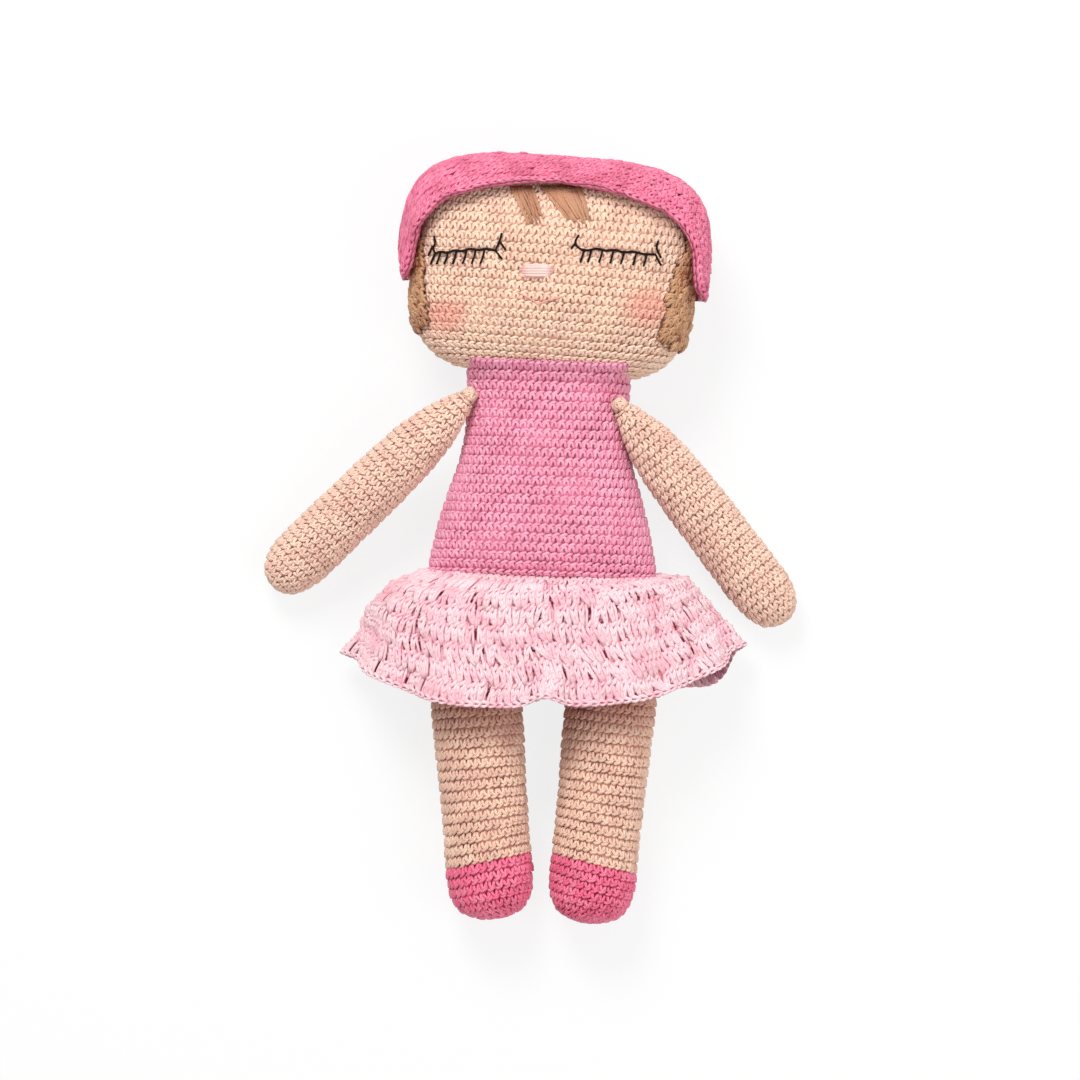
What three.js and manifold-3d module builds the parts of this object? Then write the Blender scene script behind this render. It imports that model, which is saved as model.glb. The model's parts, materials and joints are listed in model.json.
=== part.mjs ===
// A crocheted doll lying on its back: head towards +Y, front towards +Z, in millimetres and degrees.
// The origin is the middle of the flat on which the back of the body rests.
// Each stuffed piece is a cover with a hollow for its filling, and the cover is open where it is sewn on.
// Left and right are the viewer's.
import * as THREE from 'three';
import { mergeVertices } from 'three/addons/utils/BufferGeometryUtils.js';
import Module from 'manifold-3d';

// Crocheted fabric, its clearances, how deep the soft forms press on the table, and how near points are one point
const wall = 1.8;
const seamGap = 0.35;
const overrun = 4;
const restCut = 0.5;
const weldDistance = 1e-4;

// Body: a cone that is widest at the skirt and flattened at the hips
const bodyLength = 106.6;
const bodyBottom = 51.6;
const bodyHalfWidth = 45.2;
const bodyHalfDepth = 22.9;
const bodyLean = 1.9;
const neckForward = 5.6;
const neckLength = 17;
const neckFillLap = 1.5;

// Head: a wide, flat pillow that is sunk into the neck
const headHalfWidth = 54.2;
const headHalfHeight = 40;
const headHalfDepth = 25;
const headRight = 3.2;
const headSunk = 11.9;
const headLean = 4.2;

// Hair cap, and the hat that is pulled over it
const hairThickness = 1.8;
const hairTurn = 2.3;
const hatClearance = 0.8;
const hatThickness = 3.9;
const hatEdgeRadius = 1.2;

// Arms, from the knot that holds each one on the front of the shoulder
const armLength = 112;
const armHalfWidth = 12;
const armHalfDepth = 11.6;
const leftArmBelowNeck = 2;
const rightArmBelowNeck = 4;
const leftShoulderAngle = 30;
const rightShoulderAngle = 38;
const leftArmAngle = 46.3;
const rightArmAngle = 37.8;
const knotRadius = 3;

// Legs that end in shoes, from the whipped seam that holds each one under the hip
const legLength = 114.5;
const legHalfWidth = 17.6;
const legHalfDepth = 17.2;
const hipInset = 16.4;
const hipShift = 1.6;
const hipDrop = 2.9;
const leftToeIn = 4.3;
const rightToeIn = 5.9;
const shoeLength = 24;
const shoeSlant = 4.5;
const hipSeamRadius = 2;
const hipSeamHalfLength = 11;

// Skirt: a gathered flounce that is worked onto the body
const skirtAboveHips = 20.1;
const skirtLength = 53;
const skirtThickness = 2.4;
const skirtHemHalfWidth = 77.3;
const skirtPuff = 10.5;
const skirtTurn = 3;
const skirtFrontRise = 5.5;
const skirtFrontDip = 4;
const skirtCornerLift = 22;
const skirtCornerSag = 11;
const skirtNotch = 4;
const skirtNotchWidth = 6;
const skirtFold = 2.2;
const skirtFoldCount = 12;

// Face, sewn on the front of the head; places are from the middle of the head
const threadRadius = 0.55;
const eyeHeight = 8.5;
const leftEyeAt = -33.9;
const rightEyeAt = 25.1;
const leftEyeHalfWidth = 12;
const rightEyeHalfWidth = 14.4;
const eyeRise = 6;
const lashLength = 4.1;
const lashLean = 1.6;
const leftLashCount = 7;
const rightLashCount = 8;
const noseAt = -6.3;
const noseHeight = 1.7;
const noseHalfWidth = 7;
const noseHalfHeight = 2;
const noseThickness = 1.6;
const mouthHeight = -7.1;
const mouthHalfWidth = 8.8;
const mouthDip = 4.4;
const tuftThickness = 1.4;
const tuftTop = 34.7;
const tuftLength = 13.4;
const leftTuftAt = -12.6;
const leftTuftHalfWidth = 4;
const rightTuftAt = 2.4;
const rightTuftHalfWidth = 7.4;
const tuftSlant = 7.3;

// Facets
const bodySides = 28;
const limbSides = 20;
const fillSides = 14;
const threadSides = 6;
const coverRings = 13;
const fillRings = 9;
const hatSides = 36;
const hatRings = 13;
const hairSteps = 14;
const brimSteps = 24;
const edgeSteps = 48;
const skirtSides = 60;
const sectionSteps = 400;

// How square the section of each form is: 2 is an ellipse
const bodySquareness = 2.3;
const limbSquareness = 2.05;
const headSquareness = 2.6;
const headOutline = 3.7;
const headPlump = 2.4;
const hemSquareness = 2;

// How late the corners of the skirt sag and rise
const cornerSagPower = 3;
const cornerLiftPower = 3.3;

const colours = {
  skin: 0xe6c0ac,
  bodice: 0xf499b5,
  hotPink: 0xe85f8b,
  skirt: 0xf8cfd4,
  hair: 0xb18262,
  fringe: 0xd69874,
  thread: 0x2c2526,
  nose: 0xfadacd,
  mouth: 0xdf9a9a,
  filling: 0xf4f1ea,
};

// Shares along a form from its lower or sewn end, then its half width and half depth as shares of the largest
const bodyShares = [
  [0, 0.93, 0.13],
  [0.03, 0.955, 0.25],
  [0.07, 0.975, 0.43],
  [0.13, 0.99, 0.66],
  [0.19, 1, 0.83],
  [0.27, 0.955, 0.975],
  [0.41, 0.885, 1],
  [0.53, 0.785, 1],
  [0.63, 0.72, 0.975],
  [0.76, 0.7, 0.84],
  [0.85, 0.705, 0.73],
  [0.93, 0.72, 0.67],
  [1, 0.74, 0.64],
];
const neckBendShares = [0.6, 0.95];
const armShares = [
  [knotRadius / 2 / armLength, 0.29, 0.29],
  [0.08, 0.5, 0.5],
  [0.17, 0.76, 0.74],
  [0.29, 0.9, 0.88],
  [0.45, 0.97, 0.95],
  [0.65, 0.98, 0.98],
  [0.84, 1, 1],
  [0.93, 0.87, 0.9],
  [0.98, 0.56, 0.6],
  [1, 0, 0],
];
const handShare = 0.84;
const legShares = [
  [-0.03, 0.78, 0.12],
  [0.02, 0.8, 0.14],
  [0.06, 0.86, 0.27],
  [0.12, 0.94, 0.49],
  [0.21, 1, 0.77],
  [0.32, 1.01, 0.96],
  [0.48, 0.98, 1],
  [0.66, 0.94, 0.97],
  [0.82, 0.965, 0.99],
  [0.9, 0.93, 0.96],
  [0.96, 0.76, 0.8],
  [0.99, 0.42, 0.45],
  [1, 0, 0],
];
const heelShare = 0.82;
// Brim, from the middle of the front to the middle of the back: shares of the half turn and of the head's half height
const brimShares = [
  [0, 0.87],
  [0.06, 0.83],
  [0.177, 0.72],
  [0.274, 0.56],
  [0.33, 0.35],
  [0.345, 0.13],
  [0.365, -0.05],
  [0.44, -0.12],
  [1, -0.12],
];
// Edge of the hair, ahead and up, as shares of the half depth and half height of the head
const hairShares = [
  [0, 1.6],
  [0.12, 0.8],
  [0.36, 0.34],
  [0.53, 0.14],
  [0.6, -0.15],
  [0.61, -0.44],
  [0.5, -0.57],
  [0.15, -0.64],
  [-1.6, -0.68],
];
// Lid of a closed eye as shares of its half width and rise
const lidShares = [
  [-1.1, 1],
  [-1.06, 0.45],
  [-1, 0.04],
  [-0.5, -0.1],
  [0, -0.12],
  [0.5, -0.08],
  [1, 0.04],
  [1.08, 0.5],
  [1.1, 1],
];
const skirtPuffShare = 0.13;
const skirtRingShares = [0, 0.04, skirtPuffShare, 0.34, 0.56, 0.78, 1];
// From the back of the skirt, where it lies flat, to where its folds are full
const skirtFoldShares = [-0.6, 0.1];
// How much a tuft narrows, and how thin a hollow and a filling may get
const tuftTaperShare = 0.5;
const hollowShare = 0.4;
const filledShare = 0.22;

const wasm = await Module();
wasm.setup();

const degrees = THREE.MathUtils.degToRad;
const power = (value, exponent) => Math.sign(value) * Math.abs(value) ** exponent;
// How far a rounded outline reaches at a share of its other half size
const reach = (share, squareness) => Math.max(0, 1 - Math.abs(share) ** squareness) ** (1 / squareness);

// Sizes that follow from those above
const hairOuter = seamGap + hairThickness;
const hatInner = hairOuter + hatClearance;
const hatOuter = hatInner + hatThickness;
const bodyHeight = bodyHalfDepth - restCut;
const headHeight = headHalfDepth + hatOuter - restCut;
const bodyTop = bodyLength - bodyBottom;
const neckSeamAt = bodyTop - neckLength;
const headAbove = bodyTop - headSunk + headHalfHeight;
const farAway = 4 * bodyLength;

// One round of a form, square across it
function round(along, halfWidth, halfDepth, forward, squareness, sides) {
  const points = [];
  for (let i = 0; i < sides; i += 1) {
    const angle = (2 * Math.PI * i) / sides;
    const x = halfWidth * power(Math.cos(angle), 2 / squareness);
    const z = halfDepth * power(Math.sin(angle), 2 / squareness) + forward;
    points.push(new THREE.Vector3(x, along, z));
  }
  return points;
}

// Joins rounds of equal counts into one closed skin: with a cap at each end, or the last round to the first
function skin(rounds, looped = false) {
  const sides = rounds[0].length;
  const positions = [];
  const push = (...points) => points.forEach((p) => positions.push(p.x, p.y, p.z));
  const bands = looped ? rounds.length : rounds.length - 1;
  for (let r = 0; r < bands; r += 1) {
    const next = rounds[(r + 1) % rounds.length];
    for (let i = 0; i < sides; i += 1) {
      const j = (i + 1) % sides;
      push(rounds[r][i], next[j], rounds[r][j]);
      push(rounds[r][i], next[i], next[j]);
    }
  }
  for (const ring of looped ? [] : [rounds[0], [...rounds.at(-1)].reverse()]) {
    const middle = ring.reduce((sum, p) => sum.add(p), new THREE.Vector3()).divideScalar(sides);
    for (let i = 0; i < sides; i += 1) push(middle, ring[i], ring[(i + 1) % sides]);
  }
  const geometry = new THREE.BufferGeometry();
  geometry.setAttribute('position', new THREE.Float32BufferAttribute(positions, 3));
  return geometry;
}

// A geometry, put where a group stands, as a solid that can be joined and cut
function solid(geometry, place = new THREE.Group()) {
  place.updateWorldMatrix(true, false);
  const bare = geometry.clone().applyMatrix4(place.matrixWorld);
  bare.deleteAttribute('normal');
  bare.deleteAttribute('uv');
  const merged = mergeVertices(bare, weldDistance);
  const corners = merged.index.array;
  const kept = [];
  for (let i = 0; i < corners.length; i += 3) {
    const [a, b, c] = corners.slice(i, i + 3);
    if (a !== b && b !== c && c !== a) kept.push(a, b, c);
  }
  const mesh = new wasm.Mesh({
    numProp: 3,
    vertProperties: new Float32Array(merged.attributes.position.array),
    triVerts: new Uint32Array(kept),
  });
  return new wasm.Manifold(mesh);
}

// Shows a solid as a named mesh in a group
function show(name, shape, colour, place) {
  const { vertProperties, triVerts } = shape.getMesh();
  const geometry = new THREE.BufferGeometry();
  geometry.setAttribute('position', new THREE.BufferAttribute(new Float32Array(vertProperties), 3));
  geometry.setIndex(new THREE.BufferAttribute(new Uint32Array(triVerts), 1));
  geometry.applyMatrix4(place.matrixWorld.clone().invert());
  geometry.computeVertexNormals();
  const material = new THREE.MeshStandardMaterial({ color: colour, roughness: 0.9, metalness: 0 });
  const mesh = new THREE.Mesh(geometry, material);
  mesh.name = name;
  place.add(mesh);
}

// A swelling and tapering form: its sides grow by one length, and its ends by two others.
// Where it is thin, a hollow keeps at least its slack share of the form's size.
function swelling(kind, { grow = 0, start = 0, end = 0, slack = 0, sides = kind.sides, rings = coverRings } = {}) {
  const curve = new THREE.CatmullRomCurve3(kind.shares.map((share) => new THREE.Vector3(...share)));
  const sized = (size) => Math.max(size + (size > 0 ? grow : 0), size * slack);
  const rounds = curve.getPoints(rings).map((share) => {
    const along = share.x * (kind.length + start + end) - start;
    const forward = (kind.forward ?? 0) * THREE.MathUtils.smoothstep(share.x, ...neckBendShares);
    const halfWidth = sized(share.y * kind.halfWidth);
    const halfDepth = sized(share.z * kind.halfDepth);
    return round(along, halfWidth, halfDepth, forward, kind.squareness, sides);
  });
  return skin(rounds);
}
const hollow = { grow: -wall, start: overrun, end: -wall, slack: hollowShare };
const filled = {
  grow: -wall - seamGap,
  start: -wall,
  end: -wall - seamGap,
  slack: filledShare,
  sides: fillSides,
};

// The pillow of the head, grown all over. A straight one keeps its full size below its middle.
function pillow(grow, { straight = false, sides = bodySides, rings = coverRings } = {}) {
  const rounds = [];
  for (let i = 0; i <= rings; i += 1) {
    const up = -power(Math.cos((Math.PI * i) / rings), 2 / headOutline);
    const level = straight ? Math.max(up, 0) : up;
    const halfWidth = (headHalfWidth + grow) * reach(level, headOutline);
    const halfDepth = (headHalfDepth + grow) * reach(level, headPlump);
    rounds.push(round(up * (headHalfHeight + grow), halfWidth, halfDepth, 0, headSquareness, sides));
  }
  return skin(rounds);
}

// A prism across the head, between a front to back outline and a level far above it
function acrossHead(shares) {
  const outline = new THREE.SplineCurve(
    shares.map(([ahead, up]) => new THREE.Vector2(ahead * headHalfDepth, up * headHalfHeight)),
  ).getPoints(hairSteps);
  const shape = new THREE.Shape([
    ...outline,
    new THREE.Vector2(outline.at(-1).x, farAway),
    new THREE.Vector2(outline[0].x, farAway),
  ]);
  const geometry = new THREE.ExtrudeGeometry(shape, { depth: farAway, bevelEnabled: false });
  return geometry.translate(0, 0, -farAway / 2).rotateY(-Math.PI / 2);
}

// A thread or cord of round section along points, with flat ends
function cord(points, radius, steps) {
  const section = [];
  for (let i = 0; i < threadSides; i += 1) {
    const angle = (2 * Math.PI * i) / threadSides;
    section.push(new THREE.Vector2(radius * Math.cos(angle), radius * Math.sin(angle)));
  }
  const extrudePath = new THREE.CatmullRomCurve3(points);
  return new THREE.ExtrudeGeometry(new THREE.Shape(section), { steps, extrudePath, bevelEnabled: false });
}

// Groups: where each part of the doll is placed
function placeAt(x, y, z, turn, slope = 0) {
  const group = new THREE.Group();
  group.position.set(x, y, z);
  group.rotation.set(-slope, 0, turn, 'ZXY');
  return group;
}
const doll = new THREE.Group();
const upper = placeAt(0, 0, bodyHeight, degrees(-bodyLean));
const torso = placeAt(0, -bodyBottom, 0, 0);
const head = placeAt(headRight, headAbove, headHeight, degrees(-headLean));
const faceFrame = placeAt(headRight, headAbove, headHeight, 0);
upper.add(torso);
doll.add(upper, head, faceFrame);
doll.updateMatrixWorld(true);

const table = solid(new THREE.BoxGeometry(farAway, farAway, farAway).translate(0, 0, -farAway / 2));

// Body: cover, filling, and the neck rounds that are sewn to the head
const bodyKind = {
  shares: bodyShares,
  length: bodyLength,
  halfWidth: bodyHalfWidth,
  halfDepth: bodyHalfDepth,
  forward: neckForward,
  squareness: bodySquareness,
  sides: bodySides,
};
// Everything that is nearer the head than a level of the body
const bodyAbove = (level) => solid(
  new THREE.BoxGeometry(farAway, farAway, farAway).translate(0, level + farAway / 2, 0),
  upper,
);
const bodyOuter = solid(swelling(bodyKind), torso);
const bodyHollow = solid(swelling(bodyKind, { ...hollow, start: -wall, end: overrun }), torso);
const bodyShell = bodyOuter.subtract(bodyHollow).subtract(table);
const bodyFill = solid(swelling(bodyKind, { ...filled, start: -wall - seamGap, end: 0 }), torso);
const bodyGrown = solid(swelling(bodyKind, { grow: seamGap }), torso);
const headGrown = solid(pillow(seamGap), head);
show('torso_cover', bodyShell.subtract(bodyAbove(neckSeamAt)), colours.bodice, torso);
show('torso_stuffing', bodyFill.subtract(bodyAbove(neckSeamAt + neckFillLap)), colours.filling, torso);
const neck = bodyShell.intersect(bodyAbove(neckSeamAt + seamGap)).subtract(headGrown);
show('neck', neck, colours.bodice, torso);

// Head: cover with a hole inside the neck, and filling
const neckHole = solid(swelling(bodyKind, { ...hollow, grow: -2 * wall, end: overrun }), torso);
const headCover = solid(pillow(0), head).subtract(solid(pillow(-wall), head)).subtract(neckHole);
const fillShape = { sides: fillSides, rings: fillRings };
show('head_cover', headCover, colours.skin, head);
show('head_stuffing', solid(pillow(-wall - seamGap, fillShape), head), colours.filling, head);

// Hair: a cap over the sides and back of the head, which reaches further forward on the right
const hairFrame = placeAt(0, 0, 0, 0);
hairFrame.rotation.y = -degrees(hairTurn);
head.add(hairFrame);
const hairShell = solid(pillow(hairOuter), head).subtract(solid(pillow(seamGap), head));
const hairRegion = solid(acrossHead(hairShares), hairFrame);
show('hair_cap', hairShell.intersect(hairRegion).subtract(bodyGrown), colours.hair, head);

// Corded edge: it runs in the middle of the hat's thickness round the face and the sides, and its ends meet at the back
const edgeGrow = hatInner + hatThickness / 2;
const halfBrim = new THREE.SplineCurve(brimShares.map((share) => new THREE.Vector2(...share))).getPoints(brimSteps);
const brimPoint = (share, side) => {
  const level = share.y * headHalfHeight;
  const up = Math.max(level, 0) / (headHalfHeight + edgeGrow);
  const angle = Math.PI / 2 - Math.PI * Math.min(share.x, 1 - seamGap / farAway);
  const x = (headHalfWidth + edgeGrow) * reach(up, headOutline) * power(Math.cos(angle), 2 / headSquareness);
  const z = (headHalfDepth + edgeGrow) * reach(up, headPlump) * power(Math.sin(angle), 2 / headSquareness);
  return new THREE.Vector3(side * x, level, z);
};
const brim = [
  ...[...halfBrim].reverse().map((share) => brimPoint(share, -1)),
  ...halfBrim.slice(1).map((share) => brimPoint(share, 1)),
];
show('hat_edging', solid(cord(brim, hatEdgeRadius, edgeSteps), head).subtract(table), colours.hotPink, head);

// Hat: straight below its widest level so that it pulls off upwards, and cut just clear of its corded edge
const edgePoints = new THREE.CatmullRomCurve3(brim).getSpacedPoints(edgeSteps);
const rim = edgePoints.map((point, i) => {
  const along = edgePoints[(i + 1) % edgePoints.length].clone().sub(edgePoints.at(i - 1));
  const outward = new THREE.Vector3(point.x / headHalfWidth ** 2, 0, point.z / headHalfDepth ** 2).normalize();
  const edge = outward.clone().cross(along).setLength(hatEdgeRadius + seamGap).add(point);
  return [-hatThickness, farAway].map((distance) => edge.clone().addScaledVector(outward, distance));
}).reverse();
const [rimInner, rimOuter] = [rim.map((pair) => pair[0]), rim.map((pair) => pair[1])];
const farBelow = rimOuter.map((point) => new THREE.Vector3(point.x, -farAway, point.z));
const belowBrim = solid(skin([farBelow, rimOuter, rimInner]), head);
const hatShape = { straight: true, sides: hatSides, rings: hatRings };
const hatShell = solid(pillow(hatOuter, hatShape), head).subtract(solid(pillow(hatInner, hatShape), head));
show('hat', hatShell.subtract(belowBrim).subtract(table), colours.hotPink, head);

// A point over the front of the head, at a place from its middle, and a height over the cover
function overFace(x, y, height) {
  const front = (across, above) => {
    const spot = new THREE.Vector2(across, above).rotateAround(new THREE.Vector2(), degrees(headLean));
    const up = spot.y / headHalfHeight;
    return headHalfDepth * reach(up, headPlump)
      * reach(spot.x / (headHalfWidth * reach(up, headOutline)), headSquareness);
  };
  const normal = new THREE.Vector3(
    (front(x - seamGap, y) - front(x + seamGap, y)) / (2 * seamGap),
    (front(x, y - seamGap) - front(x, y + seamGap)) / (2 * seamGap),
    1,
  ).normalize();
  return new THREE.Vector3(x, y, front(x, y)).addScaledVector(normal, height);
}

// Eyes: a lid with raised ends, and lashes that hang from it
function eye(name, at, halfWidth, lashes) {
  const height = threadRadius + seamGap;
  const spot = (across, above) => overFace(at + across, eyeHeight + above, height);
  const lid = lidShares.map(([across, above]) => spot(across * halfWidth, above * eyeRise));
  let shape = solid(cord(lid, threadRadius, 2 * lid.length), faceFrame);
  for (let i = 0; i < lashes; i += 1) {
    const across = halfWidth * ((2 * i) / (lashes - 1) - 1);
    const lash = [spot(across, 0), spot(across - lashLean, -lashLength)];
    shape = shape.add(solid(cord(lash, threadRadius, 1), faceFrame));
  }
  show(name, shape, colours.thread, faceFrame);
}
eye('left_eye_stitching', leftEyeAt, leftEyeHalfWidth, leftLashCount);
eye('right_eye_stitching', rightEyeAt, rightEyeHalfWidth, rightLashCount);

// Nose and mouth
const nosePlace = overFace(noseAt, noseHeight, noseThickness / 2);
const nose = new THREE.SphereGeometry(1, fillSides, threadSides)
  .scale(noseHalfWidth, noseHalfHeight, noseThickness / 2)
  .translate(...nosePlace);
show('nose_stitching', solid(nose, faceFrame), colours.nose, faceFrame);
const mouth = [-1, -0.5, 0, 0.5, 1].map((share) => overFace(
  noseAt + share * mouthHalfWidth,
  mouthHeight + mouthDip * (Math.abs(share) - 1),
  threadRadius + seamGap,
));
show('mouth_stitching', solid(cord(mouth, threadRadius, 2 * mouth.length), faceFrame), colours.mouth, faceFrame);

// Fringe: a tuft of laid yarn that narrows to its lower end
function tuft(name, at, halfWidth) {
  const rounds = [];
  for (let r = 0; r <= threadSides; r += 1) {
    const share = r / threadSides;
    const width = halfWidth * (1 - tuftTaperShare * share ** 2);
    const across = at + tuftSlant * share + (halfWidth - width) / 2;
    const ring = [];
    for (let i = 0; i < fillSides; i += 1) {
      const angle = (-2 * Math.PI * i) / fillSides;
      const lift = seamGap + (tuftThickness / 2) * (1 + Math.sin(angle));
      ring.push(overFace(across + width * Math.cos(angle), tuftTop - tuftLength * share, lift));
    }
    rounds.push(ring);
  }
  show(name, solid(skin(rounds), faceFrame), colours.fringe, faceFrame);
}
tuft('left_bangs', leftTuftAt, leftTuftHalfWidth);
tuft('right_bangs', rightTuftAt, rightTuftHalfWidth);

// Section of the body at a level from the origin, as half width, half depth and forward bend
function bodySection(level) {
  const curve = new THREE.CatmullRomCurve3(bodyShares.map((share) => new THREE.Vector3(...share)));
  const share = curve.getPoints(sectionSteps).reduce((best, point) => (
    Math.abs(point.x * bodyLength - bodyBottom - level) < Math.abs(best.x * bodyLength - bodyBottom - level)
      ? point : best));
  const forward = neckForward * THREE.MathUtils.smoothstep(share.x, ...neckBendShares);
  return [share.y * bodyHalfWidth, share.z * bodyHalfDepth, forward];
}

// Arms: each hangs on a knot that touches the front corner of the body
function arm(side, across, angle, belowNeck, shoulderAngle) {
  const shoulderAt = neckSeamAt - belowNeck;
  const [halfWidth, halfDepth, forward] = bodySection(shoulderAt);
  const corner = degrees(shoulderAngle);
  const x = Math.cos(corner) ** (2 / bodySquareness);
  const z = Math.sin(corner) ** (2 / bodySquareness);
  const out = new THREE.Vector2(x ** (bodySquareness - 1) / halfWidth, z ** (bodySquareness - 1) / halfDepth)
    .setLength(knotRadius + seamGap);
  const knotAt = new THREE.Vector3(across * (x * halfWidth + out.x), shoulderAt, z * halfDepth + forward + out.y)
    .applyMatrix4(upper.matrixWorld);
  const slope = Math.asin((knotAt.z - armHalfDepth + restCut) / (handShare * armLength));
  const place = placeAt(knotAt.x, knotAt.y, knotAt.z, Math.PI + across * degrees(angle), slope);
  doll.add(place);
  place.updateWorldMatrix(true, true);
  const kind = {
    shares: armShares,
    length: armLength,
    halfWidth: armHalfWidth,
    halfDepth: armHalfDepth,
    squareness: limbSquareness,
    sides: limbSides,
  };
  const dish = solid(new THREE.SphereGeometry(knotRadius + seamGap, fillSides, fillRings), place);
  const cover = solid(swelling(kind), place).subtract(bodyGrown).subtract(table).subtract(dish);
  const inside = solid(swelling(kind, hollow), place);
  const grown = solid(swelling(bodyKind, { grow: seamGap + wall }), torso);
  show(`${side}_arm_cover`, cover.subtract(inside.subtract(grown)), colours.skin, place);
  const packed = solid(swelling(bodyKind, { grow: 2 * seamGap + wall }), torso);
  const filling = solid(swelling(kind, filled), place).subtract(packed).subtract(dish);
  show(`${side}_arm_stuffing`, filling, colours.filling, place);
  const knot = new THREE.SphereGeometry(knotRadius, fillSides, fillRings);
  show(`${side}_shoulder_stitches`, solid(knot, place), colours.skin, place);
}
arm('left', -1, leftArmAngle, leftArmBelowNeck, leftShoulderAngle);
arm('right', 1, rightArmAngle, rightArmBelowNeck, rightShoulderAngle);

// Legs: each is flattened at its seam, and its last rounds are the shoe
function leg(side, across, toeIn) {
  const hip = new THREE.Vector3(across * (bodyHalfWidth - hipInset) + hipShift, -bodyBottom - hipDrop, 0)
    .applyMatrix4(upper.matrixWorld);
  const heelHeight = legHalfDepth - restCut;
  const slope = Math.asin((hip.z - heelHeight) / (heelShare * legLength));
  const seam = placeAt(hip.x, hip.y, hip.z, 0);
  const place = placeAt(hip.x, hip.y, hip.z, Math.PI - across * degrees(toeIn), slope);
  const shoeTop = placeAt(0, legLength - shoeLength, 0, -across * degrees(shoeSlant));
  place.add(shoeTop);
  doll.add(seam, place);
  doll.updateMatrixWorld(true);
  const kind = {
    shares: legShares,
    length: legLength,
    halfWidth: legHalfWidth,
    halfDepth: legHalfDepth,
    squareness: limbSquareness,
    sides: limbSides,
  };
  const block = () => new THREE.BoxGeometry(farAway, farAway, farAway);
  const overSeam = solid(block().translate(0, farAway / 2 - hipSeamRadius - seamGap, 0), seam);
  const pastShoe = solid(block().translate(0, farAway / 2 - seamGap / 2, 0), shoeTop);
  const beforeShoe = solid(block().translate(0, seamGap / 2 - farAway / 2, 0), shoeTop);
  const cover = solid(swelling(kind), place).subtract(solid(swelling(kind, hollow), place))
    .subtract(table)
    .subtract(overSeam);
  show(`${side}_leg_cover`, cover.subtract(pastShoe), colours.skin, place);
  show(`${side}_shoe`, cover.subtract(beforeShoe), colours.hotPink, place);
  const filling = solid(swelling(kind, filled), place).subtract(overSeam);
  show(`${side}_leg_stuffing`, filling, colours.filling, place);
  const whipped = new THREE.CapsuleGeometry(hipSeamRadius, 2 * hipSeamHalfLength, threadSides / 2, threadSides * 2)
    .rotateZ(Math.PI / 2);
  show(`${side}_hip_seam`, solid(whipped, seam), colours.skin, seam);
}
leg('left', -1, leftToeIn);
leg('right', 1, rightToeIn);

// Skirt: rounds from the waist to the hem, outside and then inside
const skirtTop = skirtAboveHips - bodyBottom;
function skirtRound(share, inset) {
  const [waistHalfWidth, waistHalfDepth] = bodySection(skirtTop);
  const clear = seamGap + skirtThickness - inset;
  const puffed = THREE.MathUtils.smoothstep(share, 0, skirtPuffShare);
  const flare = skirtHemHalfWidth - waistHalfWidth - skirtPuff - skirtThickness;
  const halfWidth = waistHalfWidth + clear + skirtPuff * puffed + flare * share;
  const points = [];
  for (let i = 0; i < skirtSides; i += 1) {
    const angle = (2 * Math.PI * i) / skirtSides;
    const squareness = THREE.MathUtils.lerp(bodySquareness, hemSquareness, puffed);
    const side = power(Math.cos(angle), 2 / squareness);
    const front = power(Math.sin(angle), 2 / squareness);
    const folded = share * THREE.MathUtils.smoothstep(front, ...skirtFoldShares);
    const fold = skirtFold * folded * Math.cos(skirtFoldCount * angle);
    const rise = front > 0 ? skirtFrontRise * puffed : 0;
    const sag = skirtCornerSag * share * Math.abs(side) ** cornerSagPower;
    const x = (halfWidth + fold) * side;
    const z = (waistHalfDepth + clear + rise + fold) * front - sag;
    const notch = front > 0 ? skirtNotch * share * Math.exp(-((x / skirtNotchWidth) ** 2)) : 0;
    const lift = skirtCornerLift * share * Math.abs(side) ** cornerLiftPower + notch;
    const dip = skirtFrontDip * (1 - share) * Math.max(front, 0);
    points.push(new THREE.Vector3(x, lift - dip - skirtLength * share, z)
      .applyAxisAngle(new THREE.Vector3(0, 0, 1), degrees(skirtTurn) * puffed)
      .add(new THREE.Vector3(0, skirtTop, 0)));
  }
  return points;
}
const skirtRounds = [
  ...skirtRingShares.map((share) => skirtRound(share, 0)),
  ...[...skirtRingShares].reverse().map((share) => skirtRound(share, skirtThickness)),
];
const skirt = solid(skin([...skirtRounds].reverse(), true), upper).subtract(bodyGrown).subtract(table);
show('skirt', skirt, colours.skirt, upper);

export default doll;
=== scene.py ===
# %% [markdown]
# # A crocheted doll, stitch by stitch
# The doll lies on its back and is seen from straight above. Every cover of the real one is made of small yarn
# stitches, worked round and round. So each form is measured first, and yarn stitches are then laid on it in rounds,
# over a darker ground that closes the gaps. Sizes are in metres, as in the frame, and mm stands for a millimetre.

# %% The frame
import json
import math
import bpy
import numpy as np
from mathutils import Matrix, Vector
from mathutils.bvhtree import BVHTree


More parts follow.
